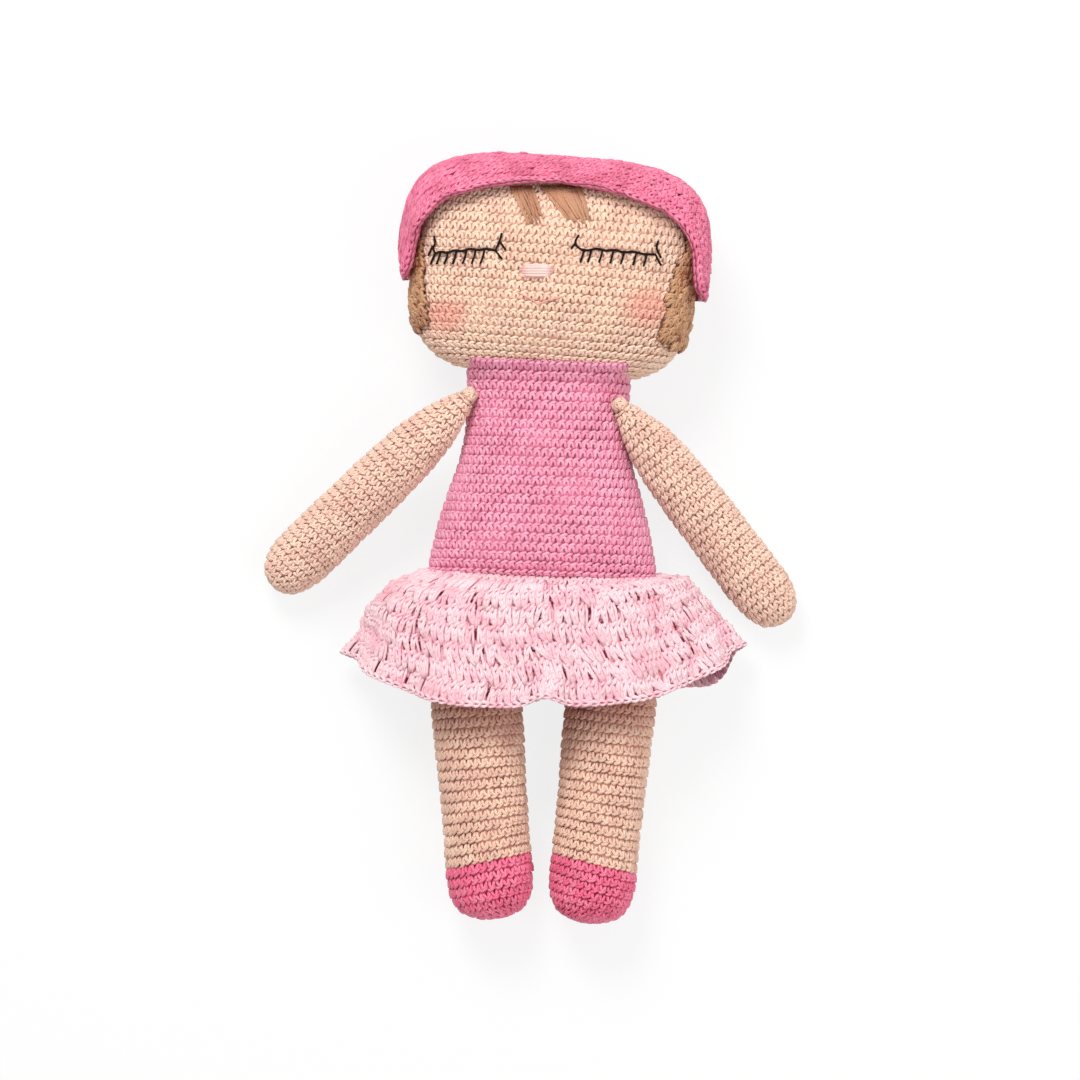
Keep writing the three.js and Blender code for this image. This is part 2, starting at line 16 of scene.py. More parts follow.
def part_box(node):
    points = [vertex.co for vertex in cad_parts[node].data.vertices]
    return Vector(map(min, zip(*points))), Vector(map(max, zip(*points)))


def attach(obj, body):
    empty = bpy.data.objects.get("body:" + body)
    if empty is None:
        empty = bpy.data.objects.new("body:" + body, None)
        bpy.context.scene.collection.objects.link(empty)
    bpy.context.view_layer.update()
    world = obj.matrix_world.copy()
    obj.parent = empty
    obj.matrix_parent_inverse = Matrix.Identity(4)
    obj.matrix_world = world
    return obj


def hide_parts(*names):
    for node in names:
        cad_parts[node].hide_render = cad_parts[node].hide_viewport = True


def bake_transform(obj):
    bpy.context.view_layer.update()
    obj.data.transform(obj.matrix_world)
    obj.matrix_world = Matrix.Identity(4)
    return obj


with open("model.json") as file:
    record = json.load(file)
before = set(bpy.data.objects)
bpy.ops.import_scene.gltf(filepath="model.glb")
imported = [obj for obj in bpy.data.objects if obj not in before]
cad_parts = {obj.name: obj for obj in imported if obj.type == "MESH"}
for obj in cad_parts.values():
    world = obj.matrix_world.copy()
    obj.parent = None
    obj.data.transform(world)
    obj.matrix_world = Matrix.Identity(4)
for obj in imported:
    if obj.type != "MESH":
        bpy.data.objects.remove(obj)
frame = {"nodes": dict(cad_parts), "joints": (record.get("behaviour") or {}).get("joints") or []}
nodes = frame["nodes"]
joints = {joint["name"]: joint for joint in frame["joints"]}
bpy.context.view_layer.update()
mm = 0.001
up = Vector((0, 0, 1))
chance = np.random.default_rng(7)

# %% [markdown]
# ## Measuring the forms
# A crocheter counts rounds and stitches, so a form is measured the same way: rays come in from all sides at one
# level, and the places where they meet the form make one round of points. Copying the shape by hand would drift
# away from the frame when a size changes, and rays don't. Each round starts at the back, where the real rounds are
# joined too, and its points are spread evenly, so that stitches come out equally wide.

# %% Rounds of points
round_points, level_count = 120, 70
slab, fewest_corners = 5 * mm, 6  # a level's middle is taken from the corners this near to it
far = 150 * mm  # rays start this far out
neighbour_weights = (1, 2, 3, 4, 3, 2, 1)
slant_from, slant_to = 0.5, 0.8  # the part of a form's length over which its rounds take up their slant
tip_size, tip_rise = 0.02, 0.3
feel_around, feel_along = 0.006, 1.2 * mm  # how far to either side a form's slope is felt
end_margin = 0.02 * mm


def surface_of(*names):
    """A tree for rays and the corners of some CAD nodes taken together."""
    corners, faces = [], []
    for name in names:
        start = len(corners)
        corners += [vertex.co.copy() for vertex in nodes[name].data.vertices]
        faces += [[start + i for i in face.vertices] for face in nodes[name].data.polygons]
    return BVHTree.FromPolygons(corners, faces), np.array(corners, float)


def evenly(points):
    """The same closed round with its points equally far apart."""
    closed = np.vstack([points, points[:1]])
    length = np.concatenate([[0], np.cumsum(np.linalg.norm(np.diff(closed, axis=0), axis=1))])
    wanted = np.linspace(0, length[-1], round_points, endpoint=False)
    return np.stack([np.interp(wanted, length, closed[:, k]) for k in range(3)], axis=1)


def measured_round(tree, centre, axis):
    side = up.cross(axis).normalized()
    front = axis.cross(side).normalized()
    found = []
    for i in range(round_points):
        angle = 2 * math.pi * i / round_points
        out = side * math.sin(angle) - front * math.cos(angle)
        place = tree.ray_cast(centre + out * far, -out, far)[0]
        if place is None:
            return None
        found.append(place)
    found = np.array(found)
    middle = np.array(centre)
    reach = np.linalg.norm(found - middle, axis=1, keepdims=True)
    soft = sum(np.roll(reach, k, axis=0) * w for k, w in zip(range(-3, 4), neighbour_weights))
    soft = soft / sum(neighbour_weights)
    return evenly(middle + (found - middle) / reach * soft)


def measure(names, axis, slant=0.0, further=0.0):
    """The rounds of a form from its low to its high end, and the length of fabric up to each."""
    tree, corners = surface_of(*names)
    axis = Vector(axis).normalized()
    side = up.cross(axis).normalized()
    along, across = corners @ np.array(axis), corners @ np.array(side)
    low, high = along.min(), along.max()
    rounds = []
    for k in range(level_count):  # the levels lie closer together toward both ends, where the form closes
        share = 0.5 - 0.5 * math.cos(math.pi * (k + 0.6) / (level_count + 0.2))
        level = low + (high - low) * share
        near = np.abs(along - level) < slab
        if near.sum() < fewest_corners:
            near = np.abs(along - level) < 3 * slab
        x = (across[near].min() + across[near].max()) / 2
        z = (corners[near, 2].min() + corners[near, 2].max()) / 2
        centre = axis * level + side * x + up * z
        turn = slant * min(max((share - slant_from) / (slant_to - slant_from), 0), 1)
        ring = measured_round(tree, centre, Matrix.Rotation(turn, 3, "Z") @ axis)
        if ring is not None:
            rounds.append(ring)
    rounds = np.array(rounds)
    soft = rounds.copy()
    soft[1:-1] = (rounds[:-2] + 2 * rounds[1:-1] + rounds[2:]) / 4
    if further:
        ahead = soft[-1].mean(axis=0) - soft[-4].mean(axis=0)
        ahead *= further / np.linalg.norm(ahead) / 3
        soft = np.concatenate([soft, [soft[-1] + ahead * (k + 1) for k in range(3)]])
    ends = []
    for ring, inner in ((soft[0], soft[1]), (soft[-1], soft[-2])):
        middle = ring.mean(axis=0)
        ends.append(middle + (ring - middle) * tip_size + (middle - inner.mean(axis=0)) * tip_rise)
    soft = np.concatenate([[ends[0]], soft, [ends[1]]])
    steps = np.linalg.norm(np.diff(soft, axis=0), axis=2).mean(axis=1)
    length = np.concatenate([[0], np.cumsum(steps)])
    print(names[0], len(soft), "rounds,", round(length[-1] / mm, 1), "mm of fabric from end to end")
    return soft, length


def on_form(form, around, along):
    """Points at a share of the way round and a length along a form."""
    rounds, length = form
    k = np.clip(np.searchsorted(length, along) - 1, 0, len(length) - 2)
    t = np.clip((along - length[k]) / (length[k + 1] - length[k]), 0, 1)[:, None]
    count = rounds.shape[1]
    j = (around % 1.0) * count
    a = np.floor(j).astype(int) % count
    f = (j - np.floor(j))[:, None]
    b = (a + 1) % count
    low = rounds[k, a] * (1 - f) + rounds[k, b] * f
    high = rounds[k + 1, a] * (1 - f) + rounds[k + 1, b] * f
    return low * (1 - t) + high * t


def lifted(form, around, along, lift):
    """Points on a form, lifted off it the way its surface faces there."""
    along = np.clip(along, end_margin, form[1][-1] - end_margin)
    du = on_form(form, around + feel_around, along) - on_form(form, around - feel_around, along)
    ds = on_form(form, around, along + feel_along) - on_form(form, around, along - feel_along)
    out = np.cross(du, ds)
    size = np.linalg.norm(out, axis=1, keepdims=True)
    out = out / np.maximum(size, 1e-12)
    return on_form(form, around, along) + out * np.reshape(lift, (-1, 1))


def girth(form, along):
    count = round_points // 2
    ring = on_form(form, np.linspace(0, 1, count, endpoint=False), np.full(count, along))
    return np.linalg.norm(np.roll(ring, -1, axis=0) - ring, axis=1).sum()


print("a form is measured at", level_count, "levels with", round_points, "points each")

# %% [markdown]
# ## One stitch
# A single crochet seen from the right side is a short fat arch: the yarn comes out of the round below, goes up,
# turns over and goes back in beside where it came out. A second short strand, the loop on top, slants across its
# head. Both are bent from curves with a round bevel, because a curve gives the yarn the same thickness everywhere
# and a map that runs along it, which the twist of the plies needs. The stitch keeps to a few dozen faces, since
# thousands of copies are laid.

# %% The single crochet
stitch_width, round_height = 3.0 * mm, 3.7 * mm


def bent_yarn(points, thickness, steps=1):
    """A length of yarn through some points, closed at both ends."""
    bpy.ops.object.select_all(action="DESELECT")
    bpy.ops.curve.primitive_bezier_curve_add()
    curve = bpy.context.object
    spline = curve.data.splines[0]
    spline.bezier_points.add(len(points) - 2)
    for knot, point in zip(spline.bezier_points, points):
        knot.co = point
        knot.handle_left_type = knot.handle_right_type = "AUTO"
    curve.data.resolution_u = steps
    curve.data.bevel_depth = thickness / 2
    curve.data.bevel_resolution = 1
    curve.data.use_fill_caps = True
    bpy.ops.object.convert(target="MESH")
    piece = bpy.context.object
    bpy.ops.object.mode_set(mode="EDIT")
    bpy.ops.mesh.select_all(action="SELECT")
    bpy.ops.mesh.remove_doubles(threshold=thickness / 200)
    bpy.ops.mesh.normals_make_consistent(inside=False)
    bpy.ops.object.mode_set(mode="OBJECT")
    return piece


def template(*pieces):
    """The corners, faces and map of some bent yarns, to be laid many times."""
    corners, faces, maps = [], [], []
    for piece in pieces:
        start = len(corners)
        corners += [tuple(vertex.co) for vertex in piece.data.vertices]
        layer = piece.data.uv_layers[0].data
        for face in piece.data.polygons:
            faces.append([start + i for i in face.vertices])
            maps += [tuple(layer[i].uv) for i in face.loop_indices]
        bpy.data.objects.remove(piece)
    corners = np.array(corners)
    high = (corners[:, 2] - corners[:, 2].min()) / np.ptp(corners[:, 2])
    return {"corners": corners, "faces": faces, "map": np.array(maps), "high": high}


def strand(points, thickness):
    """Yarn for a stitch, with its points and thickness in millimetres."""
    return bent_yarn([Vector(point) * mm for point in points], thickness * mm)


def inside_out(stitch, depth):
    """The same stitch on the other face of the fabric, that far below this one."""
    faces, maps, start = [], [], 0
    for face in stitch["faces"]:
        faces.append(face[::-1])
        maps.append(stitch["map"][start:start + len(face)][::-1])
        start += len(face)
    corners = stitch["corners"] * np.array([1, 1, -1]) - np.array([0, 0, depth])
    return {"corners": corners, "faces": faces, "map": np.concatenate(maps), "high": stitch["high"]}


arch = [(-1.1, -1.9, -1.5), (-0.9, -0.7, -0.55), (-0.45, 0.55, -0.35),
        (0.45, 0.65, -0.3), (0.95, -0.6, -0.5), (1.15, -1.9, -1.5)]
top_loop = [(-1.7, 0.1, -1.0), (-0.6, 1.05, -0.2), (0.7, 1.65, -0.2), (1.6, 1.5, -1.0)]
single_crochet = template(strand(arch, 1.45), strand(top_loop, 1.3))
print("single crochet:", len(single_crochet["faces"]), "faces")

# %% [markdown]
# ## Laying stitches in rounds
# The stitch is copied side by side round the form, one round above the other, and each copy is bent to the form as
# it is laid. An array modifier would keep all copies straight and alike, so their corners are placed as numbers.
# Each round has as many stitches as fit its girth, so they decrease toward an end, as in crochet. Small seeded
# differences in size, height and turn keep them from looking machine made. Two values are kept with every point
# for the yarn's colour: how high it lies in the fabric, which sets painted shade low in it, and a tone of its own
# for each stitch.

# %% Rounds of stitches
floor_gap = 0.1 * mm
size_spread, turn_spread, place_spread, lift_spread = 0.05, 0.07, 0.12, 0.09  # the last two in millimetres


def fabric(name, blocks):
    """One mesh of many stitches. A block is (corners, faces, map, height, tone)."""
    corners = np.concatenate([block[0] for block in blocks])
    corners[:, 2] = np.maximum(corners[:, 2], floor_gap)
    faces, start = [], 0
    for block in blocks:
        faces += [[start + i for i in face] for face in block[1]]
        start += len(block[0])
    mesh = bpy.data.meshes.new(name)
    mesh.from_pydata(corners.tolist(), [], faces)
    layer = mesh.uv_layers.new(name="yarn")
    layer.data.foreach_set("uv", np.concatenate([block[2] for block in blocks]).astype(np.float32).ravel())
    for label, k in (("height", 3), ("tone", 4)):
        values = mesh.attributes.new(label, "FLOAT", "POINT")
        values.data.foreach_set("value", np.concatenate([block[k] for block in blocks]).astype(np.float32))
    piece = bpy.data.objects.new(name, mesh)
    bpy.context.collection.objects.link(piece)
    mesh.shade_smooth()
    return piece


def lay(form, span, stitch=single_crochet, width=stitch_width, height=round_height, keep=None, lean=0.36,
        raised=0.0, rough=1.0, first=0):
    """The blocks for rounds of stitches on a form, from one length along it to another.

    Each round is shifted by lean stitches from the last. keep picks places, raised lifts the stitches off the form,
    rough makes them more uneven, and first counts the rounds laid before these.
    """
    count = max(1, round((span[1] - span[0]) / height))
    step = (span[1] - span[0]) / count
    shape, highness = stitch["corners"], stitch["high"]
    blocks = []
    for r in range(count):
        middle = span[0] + (r + 0.5) * step
        here = girth(form, middle)
        number = max(5, round(here / width))
        shift = lean * (r + first)
        share = (np.arange(number) + 0.5 + shift) / number
        if keep is not None:
            centres = lifted(form, share, np.full(number, middle), 0)
            share = share[keep(centres)]
        if not len(share):
            continue
        n = len(share)
        grow = 1 + chance.normal(0, size_spread * rough, (n, 1))
        turn = chance.normal(0, turn_spread * rough, (n, 1))
        x = shape[None, :, 0] * grow * (here / number / width)
        y = shape[None, :, 1] * (step / height)
        x, y = x * np.cos(turn) - y * np.sin(turn), x * np.sin(turn) + y * np.cos(turn)
        y = y + chance.normal(0, place_spread * rough, (n, 1)) * mm
        z = shape[None, :, 2] + chance.normal(0, lift_spread * rough, (n, 1)) * mm + raised
        around = share[:, None] + x / here
        place = lifted(form, around.ravel(), (middle + y).ravel(), z.ravel())
        size = len(shape)
        joined = [[i * size + c for c in face] for i in range(n) for face in stitch["faces"]]
        yarn = np.tile(stitch["map"], (n, 1))
        yarn[:, 1] += np.repeat(chance.uniform(0, 1, n), len(stitch["map"]))
        tone = np.repeat(chance.uniform(0, 1, n), size)
        blocks.append((place, joined, yarn, np.tile(highness, n), tone))
    return blocks


print("stitches:", round(stitch_width / mm, 1), "mm wide, in rounds of", round(round_height / mm, 1), "mm")

# %% [markdown]
# ## The ground under the stitches
# Between the stitches one sees into the fabric, where the same yarn looks deeper and darker, so the ground's darker
# colours are painted shade. A flat sheet is added as a grid, wrapped round the measured form a little inside it,
# and sewn shut along the seam, as a smooth skin. The skin of a stuffed piece is closed at both ends, because it
# holds the filling. The skins of the hat and the skirt stay open.

# %% A wrapped ground
ground_depth, ground_step, ground_swell, seam_width = -0.95 * mm, 2.2 * mm, 0.16 * mm, 0.3 * mm


def wrapped(name, form, span=None, depth=ground_depth, across=96, closed=True):
    """A skin on a form from one length along it to another."""
    start, end = span or (0, form[1][-1])
    along = max(6, round((end - start) / ground_step))
    bpy.ops.object.select_all(action="DESELECT")
    bpy.ops.mesh.primitive_grid_add(x_subdivisions=across, y_subdivisions=along, size=2, location=(0, 0, 0))
    piece = bpy.context.object
    piece.name = piece.data.name = name
    flat = np.array([vertex.co for vertex in piece.data.vertices])
    around, length = (flat[:, 0] + 1) / 2, start + (flat[:, 1] + 1) / 2 * (end - start)
    uneven = ground_swell * (
        np.sin(around * 2 * math.pi * 3 + length * 130) + np.sin(around * 2 * math.pi * 5 - length * 210))
    place = lifted(form, around, length, depth + uneven)
    place[:, 2] = np.maximum(place[:, 2], 2 * floor_gap)
    piece.data.vertices.foreach_set("co", place.astype(np.float32).ravel())
    bpy.ops.object.mode_set(mode="EDIT")
    bpy.ops.mesh.select_mode(type="VERT")
    bpy.ops.mesh.select_all(action="SELECT")
    bpy.ops.mesh.remove_doubles(threshold=seam_width)
    if closed:
        bpy.ops.mesh.select_all(action="DESELECT")
        bpy.ops.mesh.select_non_manifold(
            extend=False, use_wire=False, use_multi_face=False, use_non_contiguous=False, use_verts=False)
        bpy.ops.mesh.edge_face_add()
    bpy.ops.mesh.select_all(action="SELECT")
    bpy.ops.mesh.normals_make_consistent(inside=False)
    bpy.ops.object.mode_set(mode="OBJECT")
    bpy.ops.object.shade_smooth()
    return piece


print("the ground lies", round(-ground_depth / mm, 2), "mm inside a form")

# %% [markdown]
# ## Yarn
# Cotton yarn is a few plies twisted together: light lies on the plies and the grooves between them are darker. The
# twist is used by every yarn of the doll, so it is a node group. It reads the map that runs along each strand, and
# gives a height for the bump and for a painted highlight on the ply ridges, and a groove mask for painted shade in
# the colour. A second group gives the unevenness of dyed cotton.

# %% Groups for the twist and the dye


def new_group(name, inputs, outputs):
    group = bpy.data.node_groups.new(name, "ShaderNodeTree")
    for label, value in inputs.items():
        socket = group.interface.new_socket(label, in_out="INPUT", socket_type="NodeSocketFloat")
        socket.default_value = value
    for label in outputs:
        group.interface.new_socket(label, in_out="OUTPUT", socket_type="NodeSocketFloat")
    print("node group", name, "gives", *outputs)
    return group, group.nodes.new("NodeGroupInput"), group.nodes.new("NodeGroupOutput")


def math_node(tree, operation, a, b=None):
    node = tree.nodes.new("ShaderNodeMath")
    node.operation = operation
    for socket, value in zip(node.inputs, (a, b)):
        if isinstance(value, (int, float)):
            socket.default_value = value
        elif value is not None:
            tree.links.new(value, socket)
    return node.outputs[0]


twist, twist_in, twist_out = new_group("Twisted plies", {"Plies": 3.0, "Turns": 3.0}, ("Height", "Groove"))
yarn_map = twist.nodes.new("ShaderNodeUVMap")
yarn_map.uv_map = "yarn"
apart = twist.nodes.new("ShaderNodeSeparateXYZ")
twist.links.new(yarn_map.outputs[0], apart.inputs[0])
slope = math_node(twist, "ADD", math_node(twist, "MULTIPLY", apart.outputs["X"], twist_in.outputs["Plies"]),
                  math_node(twist, "MULTIPLY", apart.outputs["Y"], twist_in.outputs["Turns"]))
ply = math_node(twist, "ABSOLUTE", math_node(twist, "SINE", math_node(twist, "MULTIPLY", slope, math.pi)))
twist.links.new(ply, twist_out.inputs["Height"])
# The groove mask is used for painted shade between the plies.
twist.links.new(math_node(twist, "POWER", math_node(twist, "SUBTRACT", 1.0, ply), 2.5), twist_out.inputs["Groove"])

dye, dye_in, dye_out = new_group("Dyed cotton", {"Patch size": 9.0}, ("Patches", "Fuzz"))
place = dye.nodes.new("ShaderNodeTexCoord")
for label, detail, scale in (("Patches", 2.0, None), ("Fuzz", 4.0, 2600.0)):
    cloud = dye.nodes.new("ShaderNodeTexNoise")
    cloud.inputs["Detail"].default_value = detail
    dye.links.new(place.outputs["Object"], cloud.inputs["Vector"])
    if scale is None:
        dye.links.new(math_node(dye, "DIVIDE", 1000.0, dye_in.outputs["Patch size"]), cloud.inputs["Scale"])
    else:
        cloud.inputs["Scale"].default_value = scale
    dye.links.new(cloud.outputs["Fac"], dye_out.inputs[label])


def mixed(tree, factor, a, b):
    """Colour a where the factor is 0 and colour b where it is 1."""
    node = tree.nodes.new("ShaderNodeMix")
    node.data_type = "RGBA"
    node.clamp_factor = True
    sockets = [s for s in node.inputs if s.enabled]
    for socket, value in zip(sockets, (factor, a, b)):
        if isinstance(value, (int, float)):
            socket.default_value = value
        elif isinstance(value, (tuple, list)):
            socket.default_value = (*value, 1)
        else:
            tree.links.new(value, socket)
    return [s for s in node.outputs if s.enabled][0]


def ramp(tree, value, start, end):
    node = tree.nodes.new("ShaderNodeMapRange")
    node.interpolation_type = "SMOOTHSTEP"
    node.inputs["From Min"].default_value = start
    node.inputs["From Max"].default_value = end
    tree.links.new(value, node.inputs["Value"])
    return node.outputs[0]


# %% [markdown]
# Each yarn material mixes a darker colour low in the fabric, which is painted shade, with the full colour on top,
# adds a lighter or darker tone for each stitch and a painted highlight on the ply ridges on top, and puts painted
# shade in the grooves. The matt fuzz of cotton is a high roughness with some sheen. Blush on the cheeks and the
# nose's ends is painted by place, with Object coordinates, and so are a painted shadow of the hem on the legs and
# painted shade inside the skirt's lifted corner. The grounds are duller, which is painted shade between the stitches.
# The skirt's has painted dark shade in its gaps outside and is plain pink inside, which Backfacing tells apart.

# %% Yarn materials


def new_material(name, roughness, sheen, specular=0.3):
    material = bpy.data.materials.new(name)
    material.use_nodes = True
    shader = material.node_tree.nodes["Principled BSDF"]
    shader.inputs["Roughness"].default_value = roughness
    shader.inputs["Sheen Weight"].default_value = sheen
    shader.inputs["Sheen Roughness"].default_value = 0.45
    shader.inputs["Specular IOR Level"].default_value = specular
    return material, material.node_tree, shader


def spot(tree, centre, size):
    """A soft spot on the doll at a place in x and y, 1 in its middle."""
    coordinates = tree.nodes.new("ShaderNodeTexCoord")
    mapping = tree.nodes.new("ShaderNodeMapping")
    mapping.vector_type = "TEXTURE"
    mapping.inputs["Location"].default_value = (*centre, 0)
    mapping.inputs["Scale"].default_value = (*size, 1)
    tree.links.new(coordinates.outputs["Object"], mapping.inputs["Vector"])
    flat = tree.nodes.new("ShaderNodeVectorMath")
    flat.operation = "MULTIPLY"
    flat.inputs[1].default_value = (1, 1, 0)
    tree.links.new(mapping.outputs[0], flat.inputs[0])
    length = tree.nodes.new("ShaderNodeVectorMath")
    length.operation = "LENGTH"
    tree.links.new(flat.outputs[0], length.inputs[0])
    return ramp(tree, length.outputs["Value"], 1.0, 0.25)


# A yarn's second colour is painted shade, low in the fabric and in the grooves, and also the colour of the dye's
# darker patches. Its third is the lighter colour of each stitch's own tone and of the painted highlight on the plies.
def yarn_material(name, top, deep, light, blush=(), plies=3.0, turns=5.0, bump=0.6, roughness=0.55, sheen=0.06,
                  mottle=0.3, specular=0.3):
    material, tree, shader = new_material(name, roughness, sheen, specular)
    plied = tree.nodes.new("ShaderNodeGroup")
    plied.node_tree = twist
    plied.inputs["Plies"].default_value = plies
    plied.inputs["Turns"].default_value = turns
    dyed = tree.nodes.new("ShaderNodeGroup")
    dyed.node_tree = dye
    values = {}
    for label in ("height", "tone"):
        node = tree.nodes.new("ShaderNodeAttribute")
        node.attribute_name = label
        values[label] = node.outputs["Fac"]
    # Painted shade: the yarn takes its darker colour where it lies low in the fabric.
    colour = mixed(tree, ramp(tree, values["height"], 0.15, 0.8), deep, top)
    on_top = ramp(tree, values["height"], 0.45, 1.0)
    # Painted highlight on the ply ridges near the top of each stitch, mixed with the stitch's own random tone.
    ridge_highlight = math_node(tree, "MULTIPLY", math_node(tree, "POWER", plied.outputs["Height"], 3.0), on_top)
    tone_and_highlight = math_node(tree, "MULTIPLY", math_node(tree, "ADD", values["tone"], ridge_highlight), 0.42)
    colour = mixed(tree, tone_and_highlight, colour, light)
    patches = math_node(tree, "MULTIPLY", ramp(tree, dyed.outputs["Patches"], 0.4, 0.7), mottle)
    colour = mixed(tree, patches, colour, deep)
    for centre, size, tint, strength in blush:
        colour = mixed(tree, math_node(tree, "MULTIPLY", spot(tree, centre, size), strength), colour, tint)
    # Painted shade in the grooves between the plies.
    colour = mixed(tree, math_node(tree, "MULTIPLY", plied.outputs["Groove"], 0.7), colour, deep)
    tree.links.new(colour, shader.inputs["Base Color"])
    relief = math_node(tree, "ADD", plied.outputs["Height"], math_node(tree, "MULTIPLY", dyed.outputs["Fuzz"], 0.3))
    bumped = tree.nodes.new("ShaderNodeBump")
    bumped.inputs["Strength"].default_value = bump
    bumped.inputs["Distance"].default_value = 0.18 * mm
    tree.links.new(relief, bumped.inputs["Height"])
    tree.links.new(bumped.outputs[0], shader.inputs["Normal"])
    return material


# A ground stands for the yarn seen in shade between the stitches, so its colours are painted shade, and noise spreads
# darker patches over it.
def ground_material(name, colour, dark, patch_size=9.0, dark_from=0.3, dark_to=0.7, inside=None):
    material, tree, shader = new_material(name, 0.9, sheen=0.0, specular=0.1)
    dyed = tree.nodes.new("ShaderNodeGroup")
    dyed.node_tree = dye
    dyed.inputs["Patch size"].default_value = patch_size
    patches = ramp(tree, dyed.outputs["Patches"], dark_from, dark_to)
    colour = mixed(tree, patches, colour, dark)
    if inside:
        faces = tree.nodes.new("ShaderNodeNewGeometry")
        colour = mixed(tree, faces.outputs["Backfacing"], colour, inside)
    tree.links.new(colour, shader.inputs["Base Color"])
    bumped = tree.nodes.new("ShaderNodeBump")
    bumped.inputs["Distance"].default_value = 0.2 * mm
    tree.links.new(dyed.outputs["Fuzz"], bumped.inputs["Height"])
    tree.links.new(bumped.outputs[0], shader.inputs["Normal"])
    return material


# A darker, more saturated copy of a colour, for painted shade.
def darker(colour, share):
    return tuple(c * s for c, s in zip(colour, (share, share ** 1.7, share ** 1.5)))


pink, skin, arm_skin, leg_skin = (0.94, 0.33, 0.49), (0.93, 0.64, 0.47), (0.92, 0.62, 0.48), (0.9, 0.58, 0.43)
hot, shoe, blossom, tan = (0.87, 0.19, 0.34), (0.93, 0.13, 0.27), (0.95, 0.66, 0.7), (0.52, 0.26, 0.13)
fringe_tan, cheek = (0.68, 0.31, 0.165), (0.88, 0.4, 0.31)
cheeks = [((-39 * mm, 67.5 * mm), (13 * mm, 10 * mm), cheek, 0.8),
          ((40 * mm, 70.5 * mm), (12.5 * mm, 11 * mm), cheek, 0.8)]
# Painted shadow of the skirt's hem on the tops of the legs, laid into the leg yarn's colour.
painted_hem_shadow = [((0, -82 * mm), (85 * mm, 18 * mm), (0.5, 0.19, 0.14), 0.6)]
# Painted shade inside the skirt's lifted corner at the lower right, on its inner side.
painted_corner_shade = [((69 * mm, -68 * mm), (24 * mm, 14 * mm), (0.24, 0.06, 0.1), 0.95)]
# Each yarn's second colour is its painted shade, and its third is the lighter colour of its tones and of its painted
# highlight.
bodice_yarn = yarn_material("Bodice yarn", pink, darker(pink, 0.68), (1.0, 0.55, 0.69))
face_yarn = yarn_material("Face yarn", skin, darker(skin, 0.66), (0.98, 0.79, 0.63), cheeks, mottle=0.26)
arm_yarn = yarn_material("Arm yarn", arm_skin, darker(arm_skin, 0.64), (1.0, 0.78, 0.63))
leg_yarn = yarn_material("Leg yarn", leg_skin, darker(leg_skin, 0.56), (1.0, 0.75, 0.59), painted_hem_shadow)
hat_yarn = yarn_material("Hat yarn", hot, darker(hot, 0.54), (1.0, 0.35, 0.5), mottle=0.42)
shoe_yarn = yarn_material("Shoe yarn", shoe, darker(shoe, 0.62), (1.0, 0.37, 0.5))
skirt_yarn = yarn_material("Skirt yarn", blossom, (0.88, 0.36, 0.45), (0.97, 0.79, 0.81), bump=0.5, mottle=0.5)
# The inner side is the same yarn as the outside. Its slightly darker colours are painted shade, and the corner spot
# adds painted shade in the lifted corner.
shaded_inner_yarn = yarn_material("Shaded inner skirt yarn", blossom, (0.8, 0.3, 0.38), (0.95, 0.74, 0.77), painted_corner_shade,
                           bump=0.5, mottle=0.5)
hair_yarn = yarn_material("Hair yarn", tan, darker(tan, 0.42), (0.86, 0.54, 0.3), mottle=0.45)
fringe_yarn = yarn_material("Fringe yarn", fringe_tan, darker(fringe_tan, 0.6), (0.86, 0.52, 0.33), turns=9.0)
# The grounds' colours are darker copies of their yarns' colours: painted shade between the stitches.
bodice_ground = ground_material("Bodice ground", darker(pink, 0.88), darker(pink, 0.7))
face_ground = ground_material("Face ground", darker(skin, 0.9), darker(skin, 0.72))
skin_ground = ground_material("Skin ground", darker(arm_skin, 0.76), darker(arm_skin, 0.56))
hat_ground = ground_material("Hat ground", darker(hot, 0.86), darker(hot, 0.66))
shoe_ground = ground_material("Shoe ground", darker(shoe, 0.8), darker(shoe, 0.6))
# The skirt's ground is nearly black in patches outside, which is painted shade in the gaps between its posts, and
# plain pink inside.
skirt_ground = ground_material("Skirt ground", (0.93, 0.5, 0.58), (0.22, 0.02, 0.05), patch_size=5.0,
                               dark_from=0.44, dark_to=0.54, inside=(0.9, 0.5, 0.57))
hair_ground = ground_material("Hair ground", darker(tan, 0.7), darker(tan, 0.5))
print("materials:", len(bpy.data.materials))


def finish_piece(piece, material, body, replaced=()):
    """Gives a piece its material, its body where one is named, and hides the nodes it stands for."""
    piece.data.materials.clear()
    piece.data.materials.append(material)
    if body:
        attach(piece, body)
    if replaced:
        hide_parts(*replaced)
    return piece


# %% [markdown]
# ## Body
# The bodice is a pink cone, worked in rounds from the neck down and wider at the hips. Its last rounds go over to
# the head, so they are a piece of their own, though the rounds run on without a step. The form is measured once
# over both, and the stitches are shared out at the neck seam. Where its last rounds would lie in the chin, they are
# lifted over it.

# %% Bodice and neck
body_lean = math.radians(1.9)
body_axis = (math.sin(body_lean), math.cos(body_lean), 0)
body_form = measure(["torso_cover", "neck", "torso_stuffing"], body_axis, further=7 * mm)
face_tree = surface_of("head_cover")[0]
chin_clear, front_from, overlap = 2.0 * mm, 4 * mm, 1 * mm
for ring in body_form[0][-18:-1]:
    middle_z = ring[:, 2].mean()
    for point in ring:
        chin = face_tree.ray_cast(Vector((point[0], point[1], far)), -up)[0]
        if chin is not None and point[2] > middle_z + front_from:
            point[2] = max(point[2], chin.z + chin_clear)
for _ in range(4):  # the lifted rounds are smoothed along the body
    body_form[0][-20:-2, :, 2] = (
        body_form[0][-21:-3, :, 2] + 2 * body_form[0][-20:-2, :, 2] + body_form[0][-19:-1, :, 2]) / 4
neck_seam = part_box("torso_cover")[1].y
